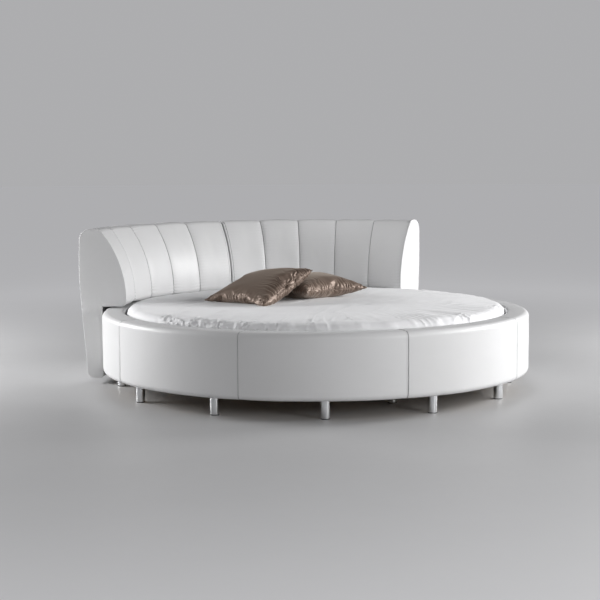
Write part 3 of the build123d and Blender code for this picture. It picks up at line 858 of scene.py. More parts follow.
NODE_FINISHES: dict[str, Finish] = {
    "rim_cover": WHITE_LEATHER,
    "headboard_back_cover": WHITE_LEATHER,
    "headboard_channel": WHITE_LEATHER,
    "headboard_inner_end": WHITE_LEATHER,
    "headboard_outer_end": WHITE_LEATHER,
    "rim_foam": FOAM,
    "mattress_core": FOAM,
    "mattress_cover": TICKING,
    "mattress_base_panel": TICKING,
    "fitted_sheet": COTTON,
    "cushion": SATIN,
    "outer_legs": CHROME,
    "inner_legs": CHROME,
    "leg_pads": BLACK_PLASTIC,
    "slat_saddles": BLACK_PLASTIC,
    "leg_screws": ZINC,
    "frame_bolts": ZINC,
    "headboard_bolts": ZINC,
    "headboard_spacers": ZINC,
    "joint_plates": PAINTED_STEEL,
    "beam_brackets": PAINTED_STEEL,
    "centre_beam": PAINTED_STEEL,
    "slats": BEECH,
    "slat_rail": BEECH,
    "ledge_strips": BEECH,
    "rim_": PLYWOOD,
    "headboard_": PLYWOOD,
}


def finish_of(node: str) -> Finish:
    """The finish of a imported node: the first entry whose name starts the node's."""
    return next(finish for start, finish in NODE_FINISHES.items() if node.startswith(start))


def coat(piece: bpy.types.Object, finish: Finish) -> None:
    """Give a piece one finish all over.

    Args:
        piece: The object.
        finish: Its finish.
    """
    piece.data.materials.clear()
    piece.data.materials.append(finish.build())


def settle(
    piece: bpy.types.Object,
    body: Body,
    finish: Finish,
    nodes: Sequence[str] = (),
) -> bpy.types.Object:
    """Finish a new piece: its look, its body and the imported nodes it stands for.

    Args:
        piece: The object.
        body: Body that it rides on.
        finish: Its finish.
        nodes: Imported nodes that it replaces.

    Returns:
        The object.
    """
    coat(piece, finish)
    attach(piece, body.value)
    if nodes:
        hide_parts(*nodes)
    LOG.info("%s: %d faces", piece.name, len(piece.data.polygons))
    return piece


# ---------------------------------------------------------------- sewing


@dataclass(frozen=True)
class Seam:
    """How a sewn seam shapes the leather beside it."""

    groove_depth: float = 3.0 * MM
    groove_width: float = 1.5 * MM
    allowance: float = 8.5 * MM
    allowance_rise: float = 0.7 * MM
    allowance_slope: float = 2 * MM
    stitch_offset: float = 6.6 * MM
    stitch_dip: float = 0.8 * MM
    stitch_width: float = 1.1 * MM

    def relief(self, distance: np.ndarray) -> np.ndarray:
        """Height of the leather by its distance from the seam.

        A bell-shaped groove at the seam, a raised band over the folded allowance, and a small
        dip under the row of stitches.
        """
        end = self.allowance + self.allowance_slope
        band = self.allowance_rise * smooth_step(distance, end, self.allowance)
        groove = self.groove_depth * bump(distance, 0, self.groove_width)
        dip = self.stitch_dip * bump(distance, self.stitch_offset, self.stitch_width)
        return band - groove - dip

    def closeness(self, distance: np.ndarray) -> np.ndarray:
        """Mark of the groove for the finish's painted shade, 1 in it and 0 away from it."""
        return bump(distance, 0, 1.3 * self.groove_width)


@dataclass(frozen=True)
class Stitches:
    """Rows of thread, each stitch a small capsule half sunk in the leather."""

    pitch: float = 6.0 * MM
    length: float = 4.2 * MM
    radius: float = 0.5 * MM
    ring_sides: int = 6
    ring_reach: float = 0.36
    ring_swell: tuple[float, ...] = (0.75, 1.0, 0.75)

    def along(self, line: np.ndarray, normal: np.ndarray) -> tuple[np.ndarray, np.ndarray]:
        """Carry one capsule to each stitch of a row.

        The capsule is three rings of six points between two tips, its half length along the
        row's tangent and its rings in the plane of the normal and the side direction.

        Args:
            line: Points (n, 3) of the row on the leather.
            normal: Unit normals there.

        Returns:
            Points and faces of all the row's stitches.
        """
        along = lengths_along(line)
        count = int(along[-1] / self.pitch)
        middles = (np.arange(count) + 0.5) * self.pitch
        centre = at_lengths(middles, along, line)
        up = at_lengths(middles, along, normal)
        ahead = at_lengths(middles + self.pitch / 4, along, line) - centre
        ahead /= np.linalg.norm(ahead, axis=1)[:, None]
        side = np.cross(ahead, up)
        side /= np.linalg.norm(side, axis=1)[:, None]
        up = np.cross(side, ahead)
        sides, rings = self.ring_sides, len(self.ring_swell)
        turn = np.linspace(0, 2 * math.pi, sides, endpoint=False)
        reach = np.linspace(-self.ring_reach, self.ring_reach, rings) * self.length
        swell = np.array(self.ring_swell) * self.radius
        local = np.stack(
            [
                np.repeat(reach, sides),
                (swell[:, None] * np.cos(turn)).ravel(),
                (swell[:, None] * np.sin(turn)).ravel(),
            ],
            axis=1,
        )
        tips = np.array([[-self.length / 2, 0, 0], [self.length / 2, 0, 0]])
        local = np.concatenate([local, tips])
        frame = np.stack([ahead, side, up], axis=1)
        points = centre[:, None, :] + local @ frame
        tube = quads(rings, sides, wrap_columns=True)
        triangles = [[rings * sides, (k + 1) % sides, k] for k in range(sides)]
        last = (rings - 1) * sides
        triangles += [[rings * sides + 1, last + k, last + (k + 1) % sides] for k in range(sides)]
        triangles = np.array([[a, b, c, c] for a, b, c in triangles])
        faces = np.concatenate([tube, triangles])
        shift = np.arange(count)[:, None, None] * len(local)
        return points.reshape(-1, 3), (faces[None] + shift).reshape(-1, 4)

    def put(self, name: str, rows: Sequence[tuple[np.ndarray, np.ndarray]]) -> bpy.types.Object:
        """Make one piece of several rows of stitches.

        Args:
            name: Name of the piece.
            rows: Line and normals of each row.

        Returns:
            The object.
        """
        points, faces, shift = [], [], 0
        for line, normal in rows:
            row_points, row_faces = self.along(line, normal)
            points.append(row_points)
            faces.append(row_faces + shift)
            shift += len(row_points)
        lists = [list(dict.fromkeys(face)) for face in np.concatenate(faces).tolist()]
        return put_mesh(name, np.concatenate(points), lists)


def stitch_row(
    path: np.ndarray, normal: np.ndarray, lift: np.ndarray, turn: np.ndarray
) -> tuple[np.ndarray, np.ndarray]:
    """Line and normals of the stitches that run up an outline at one angle."""
    return raised(path, normal, lift, turn)[:, 0], carried(normal, turn)[:, 0]


# ---------------------------------------------------------------- rim


@dataclass(frozen=True)
class RimCover:
    """The sewn leather cover of the round rim: nine panels between double-stitched seams."""

    inner: float = 1.062
    outer: float = 1.180
    top: float = 0.428
    bottom: float = 0.100
    top_round: float = 0.028
    bottom_round: float = 0.025
    inner_round: float = 0.013
    hem_height: float = 0.300
    hem_reach: float = 1.135
    leather: float = 1.6 * MM
    panels: int = 9
    first_seam: float = math.radians(58.4)
    panel_span: float = math.radians(41)
    swell: float = 0.9 * MM
    fullness: float = 1.4 * MM
    pucker: float = 0.8 * MM
    pucker_pitch: float = 15 * MM
    pucker_reach: float = 16 * MM
    fullness_reach: float = 25 * MM
    jitter: Noise = Noise(2.2, (40 * MM, 60 * MM))
    slow: Noise = Noise(0.7 * MM, (0.17, 0.11), seed=50, shift=(3, 0))
    fine: Noise = Noise(0.18 * MM, (0.05, 0.022), seed=90)
    thread_lift: float = 0.1 * MM
    skin_spacing: tuple[float, float] = (3.2 * MM, 11 * MM)
    lining_spacing: tuple[float, float] = (9 * MM, 40 * MM)
    stations: tuple[float, float, float] = (0.9 * MM, 15 * MM, 11 * MM)
    seam: Seam = Seam()
    stitches: Stitches = Stitches()

    def outline(self, inset: float, step: float, reach: float) -> np.ndarray:
        """Outline from the hem under the rim, up its outside and over it to the hem inside."""
        return rounded_path(
            [
                (self.hem_reach, self.bottom + inset, 0),
                (self.outer - inset, self.bottom + inset, self.bottom_round - inset),
                (self.outer - inset, self.top - inset, self.top_round - inset),
                (self.inner + inset, self.top - inset, self.inner_round - inset),
                (self.inner + inset, self.hem_height, 0),
            ],
            step,
            reach,
        )

    def relief(
        self,
        along: np.ndarray,
        across: np.ndarray,
        width: float,
        height: np.ndarray,
        seed: int,
    ) -> np.ndarray:
        """Height of a panel's leather over the plain outline.

        The panel is a little fuller in its middle, dips at its seams, puckers beside them where
        the leather turns over the rim's top edge, and has slow uneven waves.

        Args:
            along: Distance along the outline, as a column.
            across: Distance from the panel's first seam, as a row.
            width: Width of the panel.
            height: Height of the outline, as a column.
            seed: Picks the panel's own unevenness.

        Returns:
            Heights for each row and column.
        """
        near = np.minimum(across, width - across)
        full = self.swell + self.fullness * (1 - np.exp(-near / self.fullness_reach))
        edge = bump(height, self.top - 10 * MM, 22 * MM) + 0.25
        jitter = self.jitter.at(along, across, seed)
        waves = np.sin(2 * math.pi * along / self.pucker_pitch + jitter)
        fall = np.exp(-near / self.pucker_reach) * smooth_step(near, 0, 3 * MM)
        pucker = self.pucker * edge * waves * fall
        uneven = self.slow.at(across, along, seed) + self.fine.at(across, along, seed)
        return full + self.seam.relief(near) + pucker + uneven

    def build(self) -> None:
        """Make the nine panels and the rows of stitches beside their seams."""
        path = self.outline(0, *self.skin_spacing)
        under = self.outline(self.leather, *self.lining_spacing)[::-1]
        normal = outward(path)
        along = lengths_along(path)[:, None]
        rows = []
        for number in range(self.panels):
            start = self.first_seam + number * self.panel_span
            last = number == self.panels - 1
            end = self.first_seam + 2 * math.pi if last else start + self.panel_span
            width = (end - start) * self.outer
            across = seam_stations(width, *self.stations)[None, :]
            turn = start + across / self.outer
            height = self.relief(along, across, width, path[:, 1:], number)
            near = np.minimum(across, width - across)
            # Painted shade: the leather darkens in the seams' grooves by this mark.
            mark = self.seam.closeness(near) * np.ones_like(along)
            skin = raised(path, normal, height, turn)
            piece = put_loop(f"rim_panel_{number + 1}", skin, carried(under, turn), mark)
            settle(piece, Body.FRAME, WHITE_LEATHER, [f"rim_cover_{number + 1}"])
            for offset in (self.seam.stitch_offset, width - self.seam.stitch_offset):
                spot = np.array([[offset]])
                lift = self.relief(along, spot, width, path[:, 1:], number) + self.thread_lift
                rows.append(stitch_row(path, normal, lift, start + spot / self.outer))
        threads = self.stitches.put("rim_topstitching", rows)
        settle(threads, Body.FRAME, THREAD)


# ---------------------------------------------------------------- headboard

# Rings of a flat end, from its hidden face over its edge to its middle: the share of the outline's
# reach, and how far out it lies as a share of the panel's thickness.
END_RINGS = (
    (1, 0), (1, 0.4), (1, 0.8), (0.993, 0.96), (0.985, 1), (0.95, 1), (0.88, 1),
    (0.78, 1), (0.66, 1), (0.52, 1), (0.38, 1), (0.25, 1), (0.12, 1), (0.03, 1),
)


@dataclass(frozen=True)
class Headboard:
    """The curved headboard: two halves of five sewn channels, a back and two flat ends each."""

    rim_top: float = 0.428
    rim_outer: float = 1.180
    rise: float = 0.445
    half_span: float = math.radians(59)
    overhang: float = 0.114
    overhang_gap: float = 0.012
    leg_gap: float = 0.024
    back_reach: float = 0.151
    top_set_in: float = 0.009
    foot_set_in: float = 0.046
    crest: float = 0.190
    foot: float = 0.033
    lean: float = math.radians(38.4)
    bow_start: float = 0.040
    bow_share: float = 0.985
    bottom_round: float = 0.028
    top_round: float = 0.045
    back_top_round: float = 0.062
    back_bow: float = 2.6
    foot_back_round: float = 0.035
    foot_front_round: float = 0.015
    half_gap: float = 0.005
    end_thickness: float = 0.010
    channels: int = 5
    channel_depth: float = 0.009
    end_depth: float = 0.004
    channel_foam: float = 0.060
    rear_groove: float = 3.5 * MM
    rear_width: float = 4 * MM
    rear_lap: float = 15 * MM
    top_foam: float = 0.045
    pad_margin: float = 0.070
    pad_floor: float = 0.028
    cover: float = 0.014
    bulge: float = 24 * MM
    pucker: float = 1.1 * MM
    pucker_pitch: float = 19 * MM
    pucker_reach: float = 26 * MM
    reach_change: Noise = Noise(0.5, (30 * MM, 1), seed=7)
    jitter: Noise = Noise(2.6, (45 * MM, 70 * MM))
    slow: Noise = Noise(1.3 * MM, (0.09, 0.16), seed=30, shift=(5, 0))
    fine: Noise = Noise(0.3 * MM, (0.035, 0.05), seed=60)
    back_waves: Noise = Noise(1.6 * MM, (0.14, 0.12), seed=300)
    end_waves: Noise = Noise(0.5 * MM, (0.07, 0.09), seed=17)
    channel_spacing: tuple[float, float] = (4 * MM, 9 * MM)
    back_spacing: tuple[float, float] = (4 * MM, 14 * MM)
    end_spacing: tuple[float, float] = (3 * MM, 12 * MM)
    lining_spacing: tuple[float, float] = (30 * MM, 60 * MM)
    stations: tuple[float, float, float] = (1.0 * MM, 10 * MM, 9 * MM)
    end_crown: float = 3.5 * MM
    end_middle: tuple[float, float] = (0.036, 0.560)
    inner_draw: float = 0.976
    piping: float = 3.4 * MM
    piping_place: float = 7.5 * MM
    piping_lift: float = 0.2 * MM
    seam: Seam = Seam(groove_depth=2.6 * MM, allowance_rise=0.3 * MM, stitch_dip=0.4 * MM)
    stitches: Stitches = Stitches()

    @property
    def top(self) -> float:
        """Height of the headboard's top."""
        return self.rim_top + self.rise

    @property
    def underside(self) -> float:
        """Height of the pads' underside."""
        return self.rim_top + self.overhang_gap

    @property
    def front(self) -> float:
        """Radius of the front face above the rim."""
        return self.rim_outer - self.overhang

    @property
    def back(self) -> float:
        """Radius of the back at its crest."""
        return self.rim_outer + self.back_reach

    @property
    def leg_front(self) -> float:
        """Radius of the front of the part that hangs down behind the rim."""
        return self.rim_outer + self.leg_gap

    @property
    def pad_back(self) -> float:
        """Radius where the channels end on the top."""
        return self.back - self.pad_margin

    @property
    def pad_top(self) -> float:
        """Height of the boards under the foam of the top."""
        return self.top - self.top_foam

    @property
    def pad_bottom(self) -> float:
        """Height of the boards over the padded underside."""
        return self.underside + self.pad_floor

    @property
    def first_channel(self) -> float:
        """Angle from the middle to the first channel."""
        return (self.half_gap + self.end_thickness) / self.rim_outer

    @property
    def channel_span(self) -> float:
        """Angle of one channel."""
        free = self.half_span - (self.half_gap + 2 * self.end_thickness) / self.rim_outer
        return free / self.channels

    @property
    def outer_end(self) -> float:
        """Angle from the middle to the outer end's panel."""
        return self.first_channel + self.channels * self.channel_span

    def start_of(self, side: Side, offset: float, span: float) -> float:
        """Angle where leather of a span starts whose near end is at an offset from the middle."""
        near = math.pi / 2 + side.value * offset
        return near if side is Side.LEFT else near - span

    def bow(self, inset: float) -> Corner:
        """Corner of the front's bow, drawn in by an inset."""
        rise = self.rise - self.bow_start - self.top_round
        radius = self.top_round + rise / math.sin(self.lean)
        corner = self.rim_top + self.bow_start + radius * math.tan(self.lean / 2)
        return (
            self.front + inset,
            corner - inset * math.tan(self.lean / 2),
            self.bow_share * (radius - inset),
        )

    def lean_at(self, inset: float, height: float) -> float:
        """Radius of the leaning front, drawn in by an inset, at a height."""
        radius, corner, _ = self.bow(inset)
        return radius + (height - corner) * math.tan(self.lean)

    def front_corners(self) -> list[Corner]:
        """Corners of the front from the underside to the top."""
        return [
            (self.front, self.underside, self.bottom_round),
            self.bow(0),
            (self.lean_at(0, self.top), self.top, self.top_round),
        ]

    def back_corners(self) -> list[Corner]:
        """Corners of the back from the top to the foot's front."""
        return [
            (self.back - self.top_set_in, self.top, self.back_top_round),
            (self.back, self.rim_top + self.crest, self.back_bow),
            (self.back - self.foot_set_in, self.foot, self.foot_back_round),
            (self.leg_front, self.foot, self.foot_front_round),
        ]

    def hidden_path(self, corners: Sequence[Corner]) -> np.ndarray:
        """Outline of a lining, from the seam on the top through corners on the boards."""
        top = [(self.pad_back, self.top - self.rear_lap, 0), (self.pad_back, self.pad_top, 0)]
        return rounded_path([*top, *corners], *self.lining_spacing)

    def channel_paths(self) -> tuple[np.ndarray, np.ndarray]:
        """Outline of a channel's leather and, back from its end, of what lies on the boards."""
        first, last = (self.leg_front, self.underside, 0), (self.pad_back, self.top, 0)
        skin = rounded_path([first, *self.front_corners(), last], *self.channel_spacing)
        hidden = self.hidden_path(
            [
                (self.lean_at(self.channel_foam, self.pad_top), self.pad_top, 0),
                self.bow(self.channel_foam),
                (self.front + self.channel_foam, self.pad_bottom, 0),
                (self.leg_front, self.pad_bottom, 0),
            ]
        )
        return skin, hidden

    def channel_relief(
        self,
        along: np.ndarray,
        across: np.ndarray,
        width: float,
        depths: tuple[float, float],
        height: np.ndarray,
        seed: int,
    ) -> np.ndarray:
        """Height of a channel's leather over the plain outline.

        The pad swells between its seams as a decaying curve from each, a groove marks each
        seam, and short puckers run out from it, stronger towards the underside.

        Args:
            along: Distance along the outline, as a column.
            across: Distance from the channel's first seam, as a row.
            width: Width of the channel.
            depths: How deep the first and the last seam are drawn in.
            height: Height of the outline, as a column.
            seed: Picks the channel's own unevenness.

        Returns:
            Heights for each row and column.
        """
        far = width - across
        drawn = depths[0] * np.exp(-across / self.bulge) + depths[1] * np.exp(-far / self.bulge)
        near = np.minimum(across, far)
        strength = 0.35 + 1.1 * bump(height, self.underside + 30 * MM, 60 * MM)
        strength = strength + 0.7 * bump(height, self.top - 25 * MM, 40 * MM)
        jitter = self.jitter.at(along, across, seed)
        waves = np.sin(2 * math.pi * along / self.pucker_pitch + jitter)
        reach = self.pucker_reach * (1 + self.reach_change.at(along, 0 * along, seed))
        fall = np.exp(-near / reach) * smooth_step(near, 0, 4 * MM)
        pucker = self.pucker * strength * waves * fall
        uneven = self.slow.at(across, along, seed) + self.fine.at(across, along, seed)
        uneven = uneven * smooth_step(near, 0, 20 * MM)
        rear = self.rear_groove * bump(along[-1] - along, 0, self.rear_width)
        return 0.4 * MM - drawn + self.seam.relief(near) + pucker + uneven - rear

    def build(self, side: Side) -> None:
        """Make one half.

        Args:
            side: Which half.
        """
        skin, hidden = self.channel_paths()
        normal = -outward(skin)
        along = lengths_along(skin)[:, None]
        width = self.channel_span * self.rim_outer
        across = seam_stations(width, *self.stations)[None, :]
        near = np.minimum(across, width - across)
        # Painted shade: the leather darkens in the seams' grooves and along the rear seam's shadow
        # gap by this mark.
        rear_seam = bump(along[-1] - along, 0, self.rear_width)
        mark = np.maximum(self.seam.closeness(near), rear_seam)
        offset = self.seam.stitch_offset
        spot = np.array([[offset if side is Side.LEFT else width - offset]])
        rows = []
        for number in range(1, self.channels + 1):
            place = self.first_channel + (number - 1) * self.channel_span
            start = self.start_of(side, place, self.channel_span)
            turn = start + across / self.rim_outer
            inner = self.end_depth if number == 1 else self.channel_depth
            outer = self.end_depth if number == self.channels else self.channel_depth
            depths = (inner, outer) if side is Side.LEFT else (outer, inner)
            seed = number + 10 * side.value + 100
            height = self.channel_relief(along, across, width, depths, skin[:, 1:], seed)
            front, lining = raised(skin, normal, height, turn), carried(hidden, turn)
            piece = put_loop(f"headboard_pad_{side.word}_{number}", front, lining, mark)
            node = f"headboard_channel_{side.word}_{number}"
            settle(piece, Body.FRAME, WHITE_LEATHER, [node])
            if number > 1:
                lift = self.channel_relief(along, spot, width, depths, skin[:, 1:], seed)
                rows.append(stitch_row(skin, normal, lift, start + spot / self.rim_outer))
        threads = self.stitches.put(f"headboard_topstitching_{side.word}", rows)
        settle(threads, Body.FRAME, THREAD)
        self.build_back(side, across[0], width)
        for end, angle in (("inner", self.half_gap / self.rim_outer), ("outer", self.outer_end)):
            self.build_end(side, end, angle)

    def build_back(self, side: Side, across: np.ndarray, width: float) -> None:
        """Make the padded leather back, from the top's rear edge down round the foot.

        The grooves of the channels' seams run on over the top edge and die out below it.

        Args:
            side: Which half.
            across: Places across one channel.
            width: Width of one channel.
        """
        first, last = (self.leg_front, self.pad_bottom, 0), (self.pad_back, self.top, 0)
        corners = [first, *reversed(self.back_corners()), last]
        skin = rounded_path(corners, *self.back_spacing)
        hidden = self.hidden_path(
            [
                (self.back - self.top_set_in - self.cover, self.pad_top, 0),
                (self.back - self.cover, self.rim_top + self.crest, 0),
                (self.back - self.foot_set_in - self.cover, self.foot + self.cover, 0),
                (self.leg_front + self.cover, self.foot + self.cover, 0),
                (self.leg_front + self.cover, self.pad_bottom, 0),
            ]
        )
        repeats = [across[:-1:2] + number * width for number in range(self.channels)]
        places = np.concatenate([*repeats, [self.channels * width]])[None, :]
        start = self.start_of(side, self.first_channel, self.channels * self.channel_span)
        turn = start + places / self.rim_outer
        along = lengths_along(skin)[:, None]
        from_top = along[-1] - along
        within = places % width
        near = np.minimum(within, width - within)
        at_end = np.minimum(places, self.channels * width - places) < width / 2
        depth = np.where(at_end, self.end_depth, self.channel_depth)
        fade = np.exp(-from_top / (55 * MM))
        drawn = depth * np.exp(-near / self.bulge) * fade
        normal = outward(skin)
        waves = self.back_waves.at(places, along, side.value)
        calm = smooth_step(from_top, 0, 60 * MM) * smooth_step(along, 0, 100 * MM)
        height = 0.3 * MM - drawn + self.seam.relief(near) * fade + waves * calm
        outer, lining = raised(skin, normal, height, turn), carried(hidden, turn)
        # Painted shade: the leather darkens in the fading seam grooves by this mark.
        mark = self.seam.closeness(near) * fade
        piece = put_loop(f"headboard_back_{side.word}", outer, lining, mark)
        node = f"headboard_back_cover_{side.word}"
        settle(piece, Body.FRAME, WHITE_LEATHER, [node])

    def end_outline(self) -> np.ndarray:
        """Closed outline of the flat ends, from the front of the leg round the top and back."""
        corners = [*self.front_corners(), *self.back_corners(), (self.leg_front, self.underside, 0)]
        middle = (self.leg_front, (self.underside + self.foot) / 2, 0)
        turned = [middle, corners[-1], *corners[:-1], middle]
        return rounded_path(turned, *self.end_spacing)[:-1]

    def build_end(self, side: Side, end: str, offset: float) -> None:
        """Make a flat end of a half: a panel, with a soft crown and a piped edge on the outer end.

        The panel is the outline drawn in towards a middle in rings, each ring a little further
        out along the headboard, as a rounded edge and then a shallow dome.

        Args:
            side: Which half.
            end: Whether it is the inner or the outer end.
            offset: Angle from the middle to the panel's near face.
        """
        path = self.end_outline()[::-1]
        middle = np.array([self.leg_front + self.end_middle[0], self.end_middle[1]])
        if end == "outer":
            way, base, crown, draw = 1, offset, self.end_crown, 1
        else:
            base = offset + self.end_thickness / self.rim_outer
            way, crown, draw = -1, 0.0, self.inner_draw
        shares, steps = np.array(END_RINGS).T[:, :, None]
        flat = middle + (path - middle) * (shares * draw)[:, :, None]
        face, inside = shares < 0.99, shares < 0.96
        rise = steps * self.end_thickness + crown * (1 - shares**3) * face
        if crown:
            behind = flat[..., 0] > self.leg_front - 20 * MM
            crease = 1.2 * MM * bump(flat[..., 1], self.underside + 4 * MM, 3 * MM)
            rise = rise - crease * behind * face
        rise = rise + self.end_waves.at(flat[..., 0], flat[..., 1]) * inside
        turn = math.pi / 2 + side.value * (base + way * rise / self.rim_outer)
        points = round_the_axis(flat[..., 0], flat[..., 1], turn)
        piece = put_rings(f"headboard_{end}_cheek_{side.word}", points)
        node = f"headboard_{end}_end_{side.word}"
        settle(piece, Body.FRAME, WHITE_LEATHER, [node])
        if end == "outer":
            self.build_piping(side, path, base)

    def build_piping(self, side: Side, path: np.ndarray, base: float) -> None:
        """Make the corded edge between an outer end's panel and the leather round it.

        Args:
            side: Which half.
            path: Closed outline of the panel.
            base: Angle from the middle to the panel's near face.
        """
        ahead = np.roll(path, -1, axis=0) - np.roll(path, 1, axis=0)
        ahead /= np.linalg.norm(ahead, axis=1)[:, None]
        away = np.stack([-ahead[:, 1], ahead[:, 0]], axis=1)
        turn = math.pi / 2 + side.value * (base + self.piping_place / self.rim_outer)
        line = round_the_axis(*(path + away * self.piping_lift).T, turn)
        normal = round_the_axis(away[:, 0], away[:, 1], turn)
        tangent = np.array([-math.sin(turn), math.cos(turn), 0.0])
        aside = np.broadcast_to(tangent, line.shape)
        piece = put_tube(f"headboard_piping_{side.word}", line, normal, aside, self.piping)
        settle(piece, Body.FRAME, WHITE_LEATHER)


# ---------------------------------------------------------------- mattress


@dataclass(frozen=True)
class Wrinkles:
    """Relief of the fitted sheet over the mattress, from slow swells to a tangle at its edge.

    It is worked out from the distance along the half section, the radius, the arc from the
    headboard's side and the angle in degrees, which is 90 at the headboard and 270 in front.
    """

    edge: float = 1.046
    base: float = 0.4 * MM
    loft: float = 2.6 * MM
    broad: Noise = Noise(2.4 * MM, (0.19, 0.12), seed=501, shift=(9, 4))
    small: Noise = Noise(0.9 * MM, (0.06, 0.045), seed=508, shift=(1, 2))
    drift: Noise = Noise(0.03, (0.22, 0.22), seed=509)
    fold: Noise = Noise(1, (0.34, 0.06), seed=502, shift=(3, 0))
    patches: Noise = Noise(1, (0.27, 0.27), seed=503)
    fold_height: float = 3.2 * MM
    wander: Noise = Noise(0.02, (0.12, 0.3), seed=510)
    pleat: Noise = Noise(1, (0.036, 0.30), seed=504, shift=(0, 6))
    pleat_height: float = 4.0 * MM
    lap: Noise = Noise(1, (0.22, 0.028), seed=511, shift=(0, 2))
    lap_height: float = 3.6 * MM
    tangle: Noise = Noise(1, (0.034, 0.026), seed=505)
    cross: Noise = Noise(0.7, (0.016, 0.018), seed=506)
    crumple_height: float = 9.0 * MM
    soft: Noise = Noise(2.2 * MM, (0.05, 0.04), seed=512)
    gather: Noise = Noise(1.6 * MM, (0.018, 0.06), seed=507)

    def at(self, along: np.ndarray, radius: np.ndarray, turn: np.ndarray) -> np.ndarray:
        """Height of the sheet's wrinkles.

        Slow swells cross the top, fine pleats run in from the edge where the elastic gathers
        the cloth, and short crumples crowd the rim at the front left.

        Args:
            along: Distance along the half section, as a column.
            radius: Radius at each point, as a column.
            turn: Angle about the axis, as a row.

        Returns:
            Heights from about 0 up.
        """
        degrees = np.degrees(turn) % 360
        arc = (turn - math.pi / 2) % (2 * math.pi) * self.edge
        calm = smooth_step(np.abs(degrees - 90), 2, 8)
        top = self.loft + self.swells(radius * np.cos(turn), radius * np.sin(turn))
        top = top + self.pleats(radius, arc, degrees) * calm + self.laps(radius, arc, degrees)
        top = top * smooth_step(radius, self.edge, self.edge - 8 * MM)
        gathers = np.abs(self.gather.at(arc, along)) * smooth_step(along, 1.10, 1.20) * calm
        return self.base + top + self.crumples(along, arc, degrees) + gathers

    def swells(self, x: np.ndarray, y: np.ndarray) -> np.ndarray:
        """Slow swells over the top, with low ridges slantwise across some of it."""
        lean, across = 0.8 * x + 0.6 * y, -0.6 * x + 0.8 * y
        fold = self.fold.at(lean, across + self.drift.at(lean, across))
        patch = smooth_step(self.patches.at(x, y), -0.35, 0.4)
        ridges = self.fold_height * ridge(fold, 0.3) * patch
        return self.broad.at(x, y) + self.small.at(x, y) + ridges

    def pleats(self, radius: np.ndarray, arc: np.ndarray, degrees: np.ndarray) -> np.ndarray:
        """Fine pleats that run in from the edge, most of them at the front and the left."""
        pleat = self.pleat.at(arc + self.wander.at(radius, arc), radius)
        level = 0.35 + 0.8 * bump(degrees, 300, 34) + 0.7 * bump(degrees, 219, 26)
        return self.pleat_height * ridge(pleat, 0.42) * smooth_step(radius, 0.60, 0.99) * level

    def laps(self, radius: np.ndarray, arc: np.ndarray, degrees: np.ndarray) -> np.ndarray:
        """Long folds along the edge of the front."""
        front = smooth_step(degrees, 225, 245) * smooth_step(degrees, 300, 280)
        lap = ridge(self.lap.at(arc, radius), 0.35)
        return self.lap_height * lap * front * smooth_step(radius, 0.80, 0.93)

    def crumples(self, along: np.ndarray, arc: np.ndarray, degrees: np.ndarray) -> np.ndarray:
        """Short tangled crumples where the cloth turns over the edge, crowded at the left."""
        band = smooth_step(along, 0.90, 1.0) * (0.35 + 0.65 * smooth_step(along, 1.10, 1.06))
        where = smooth_step(degrees, 186, 191) * smooth_step(degrees, 246, 214)
        where = where + 0.8 * bump(degrees, 291, 4) + 0.9 * bump(degrees, 317, 6)
        tangle = np.abs(self.tangle.at(arc + 0.7 * along, along))
        tangle = tangle + np.abs(self.cross.at(arc, along - 0.4 * arc))
        crumple = self.crumple_height * ridge(tangle, 0.66)
        return (crumple + self.soft.at(arc, along)) * band * where


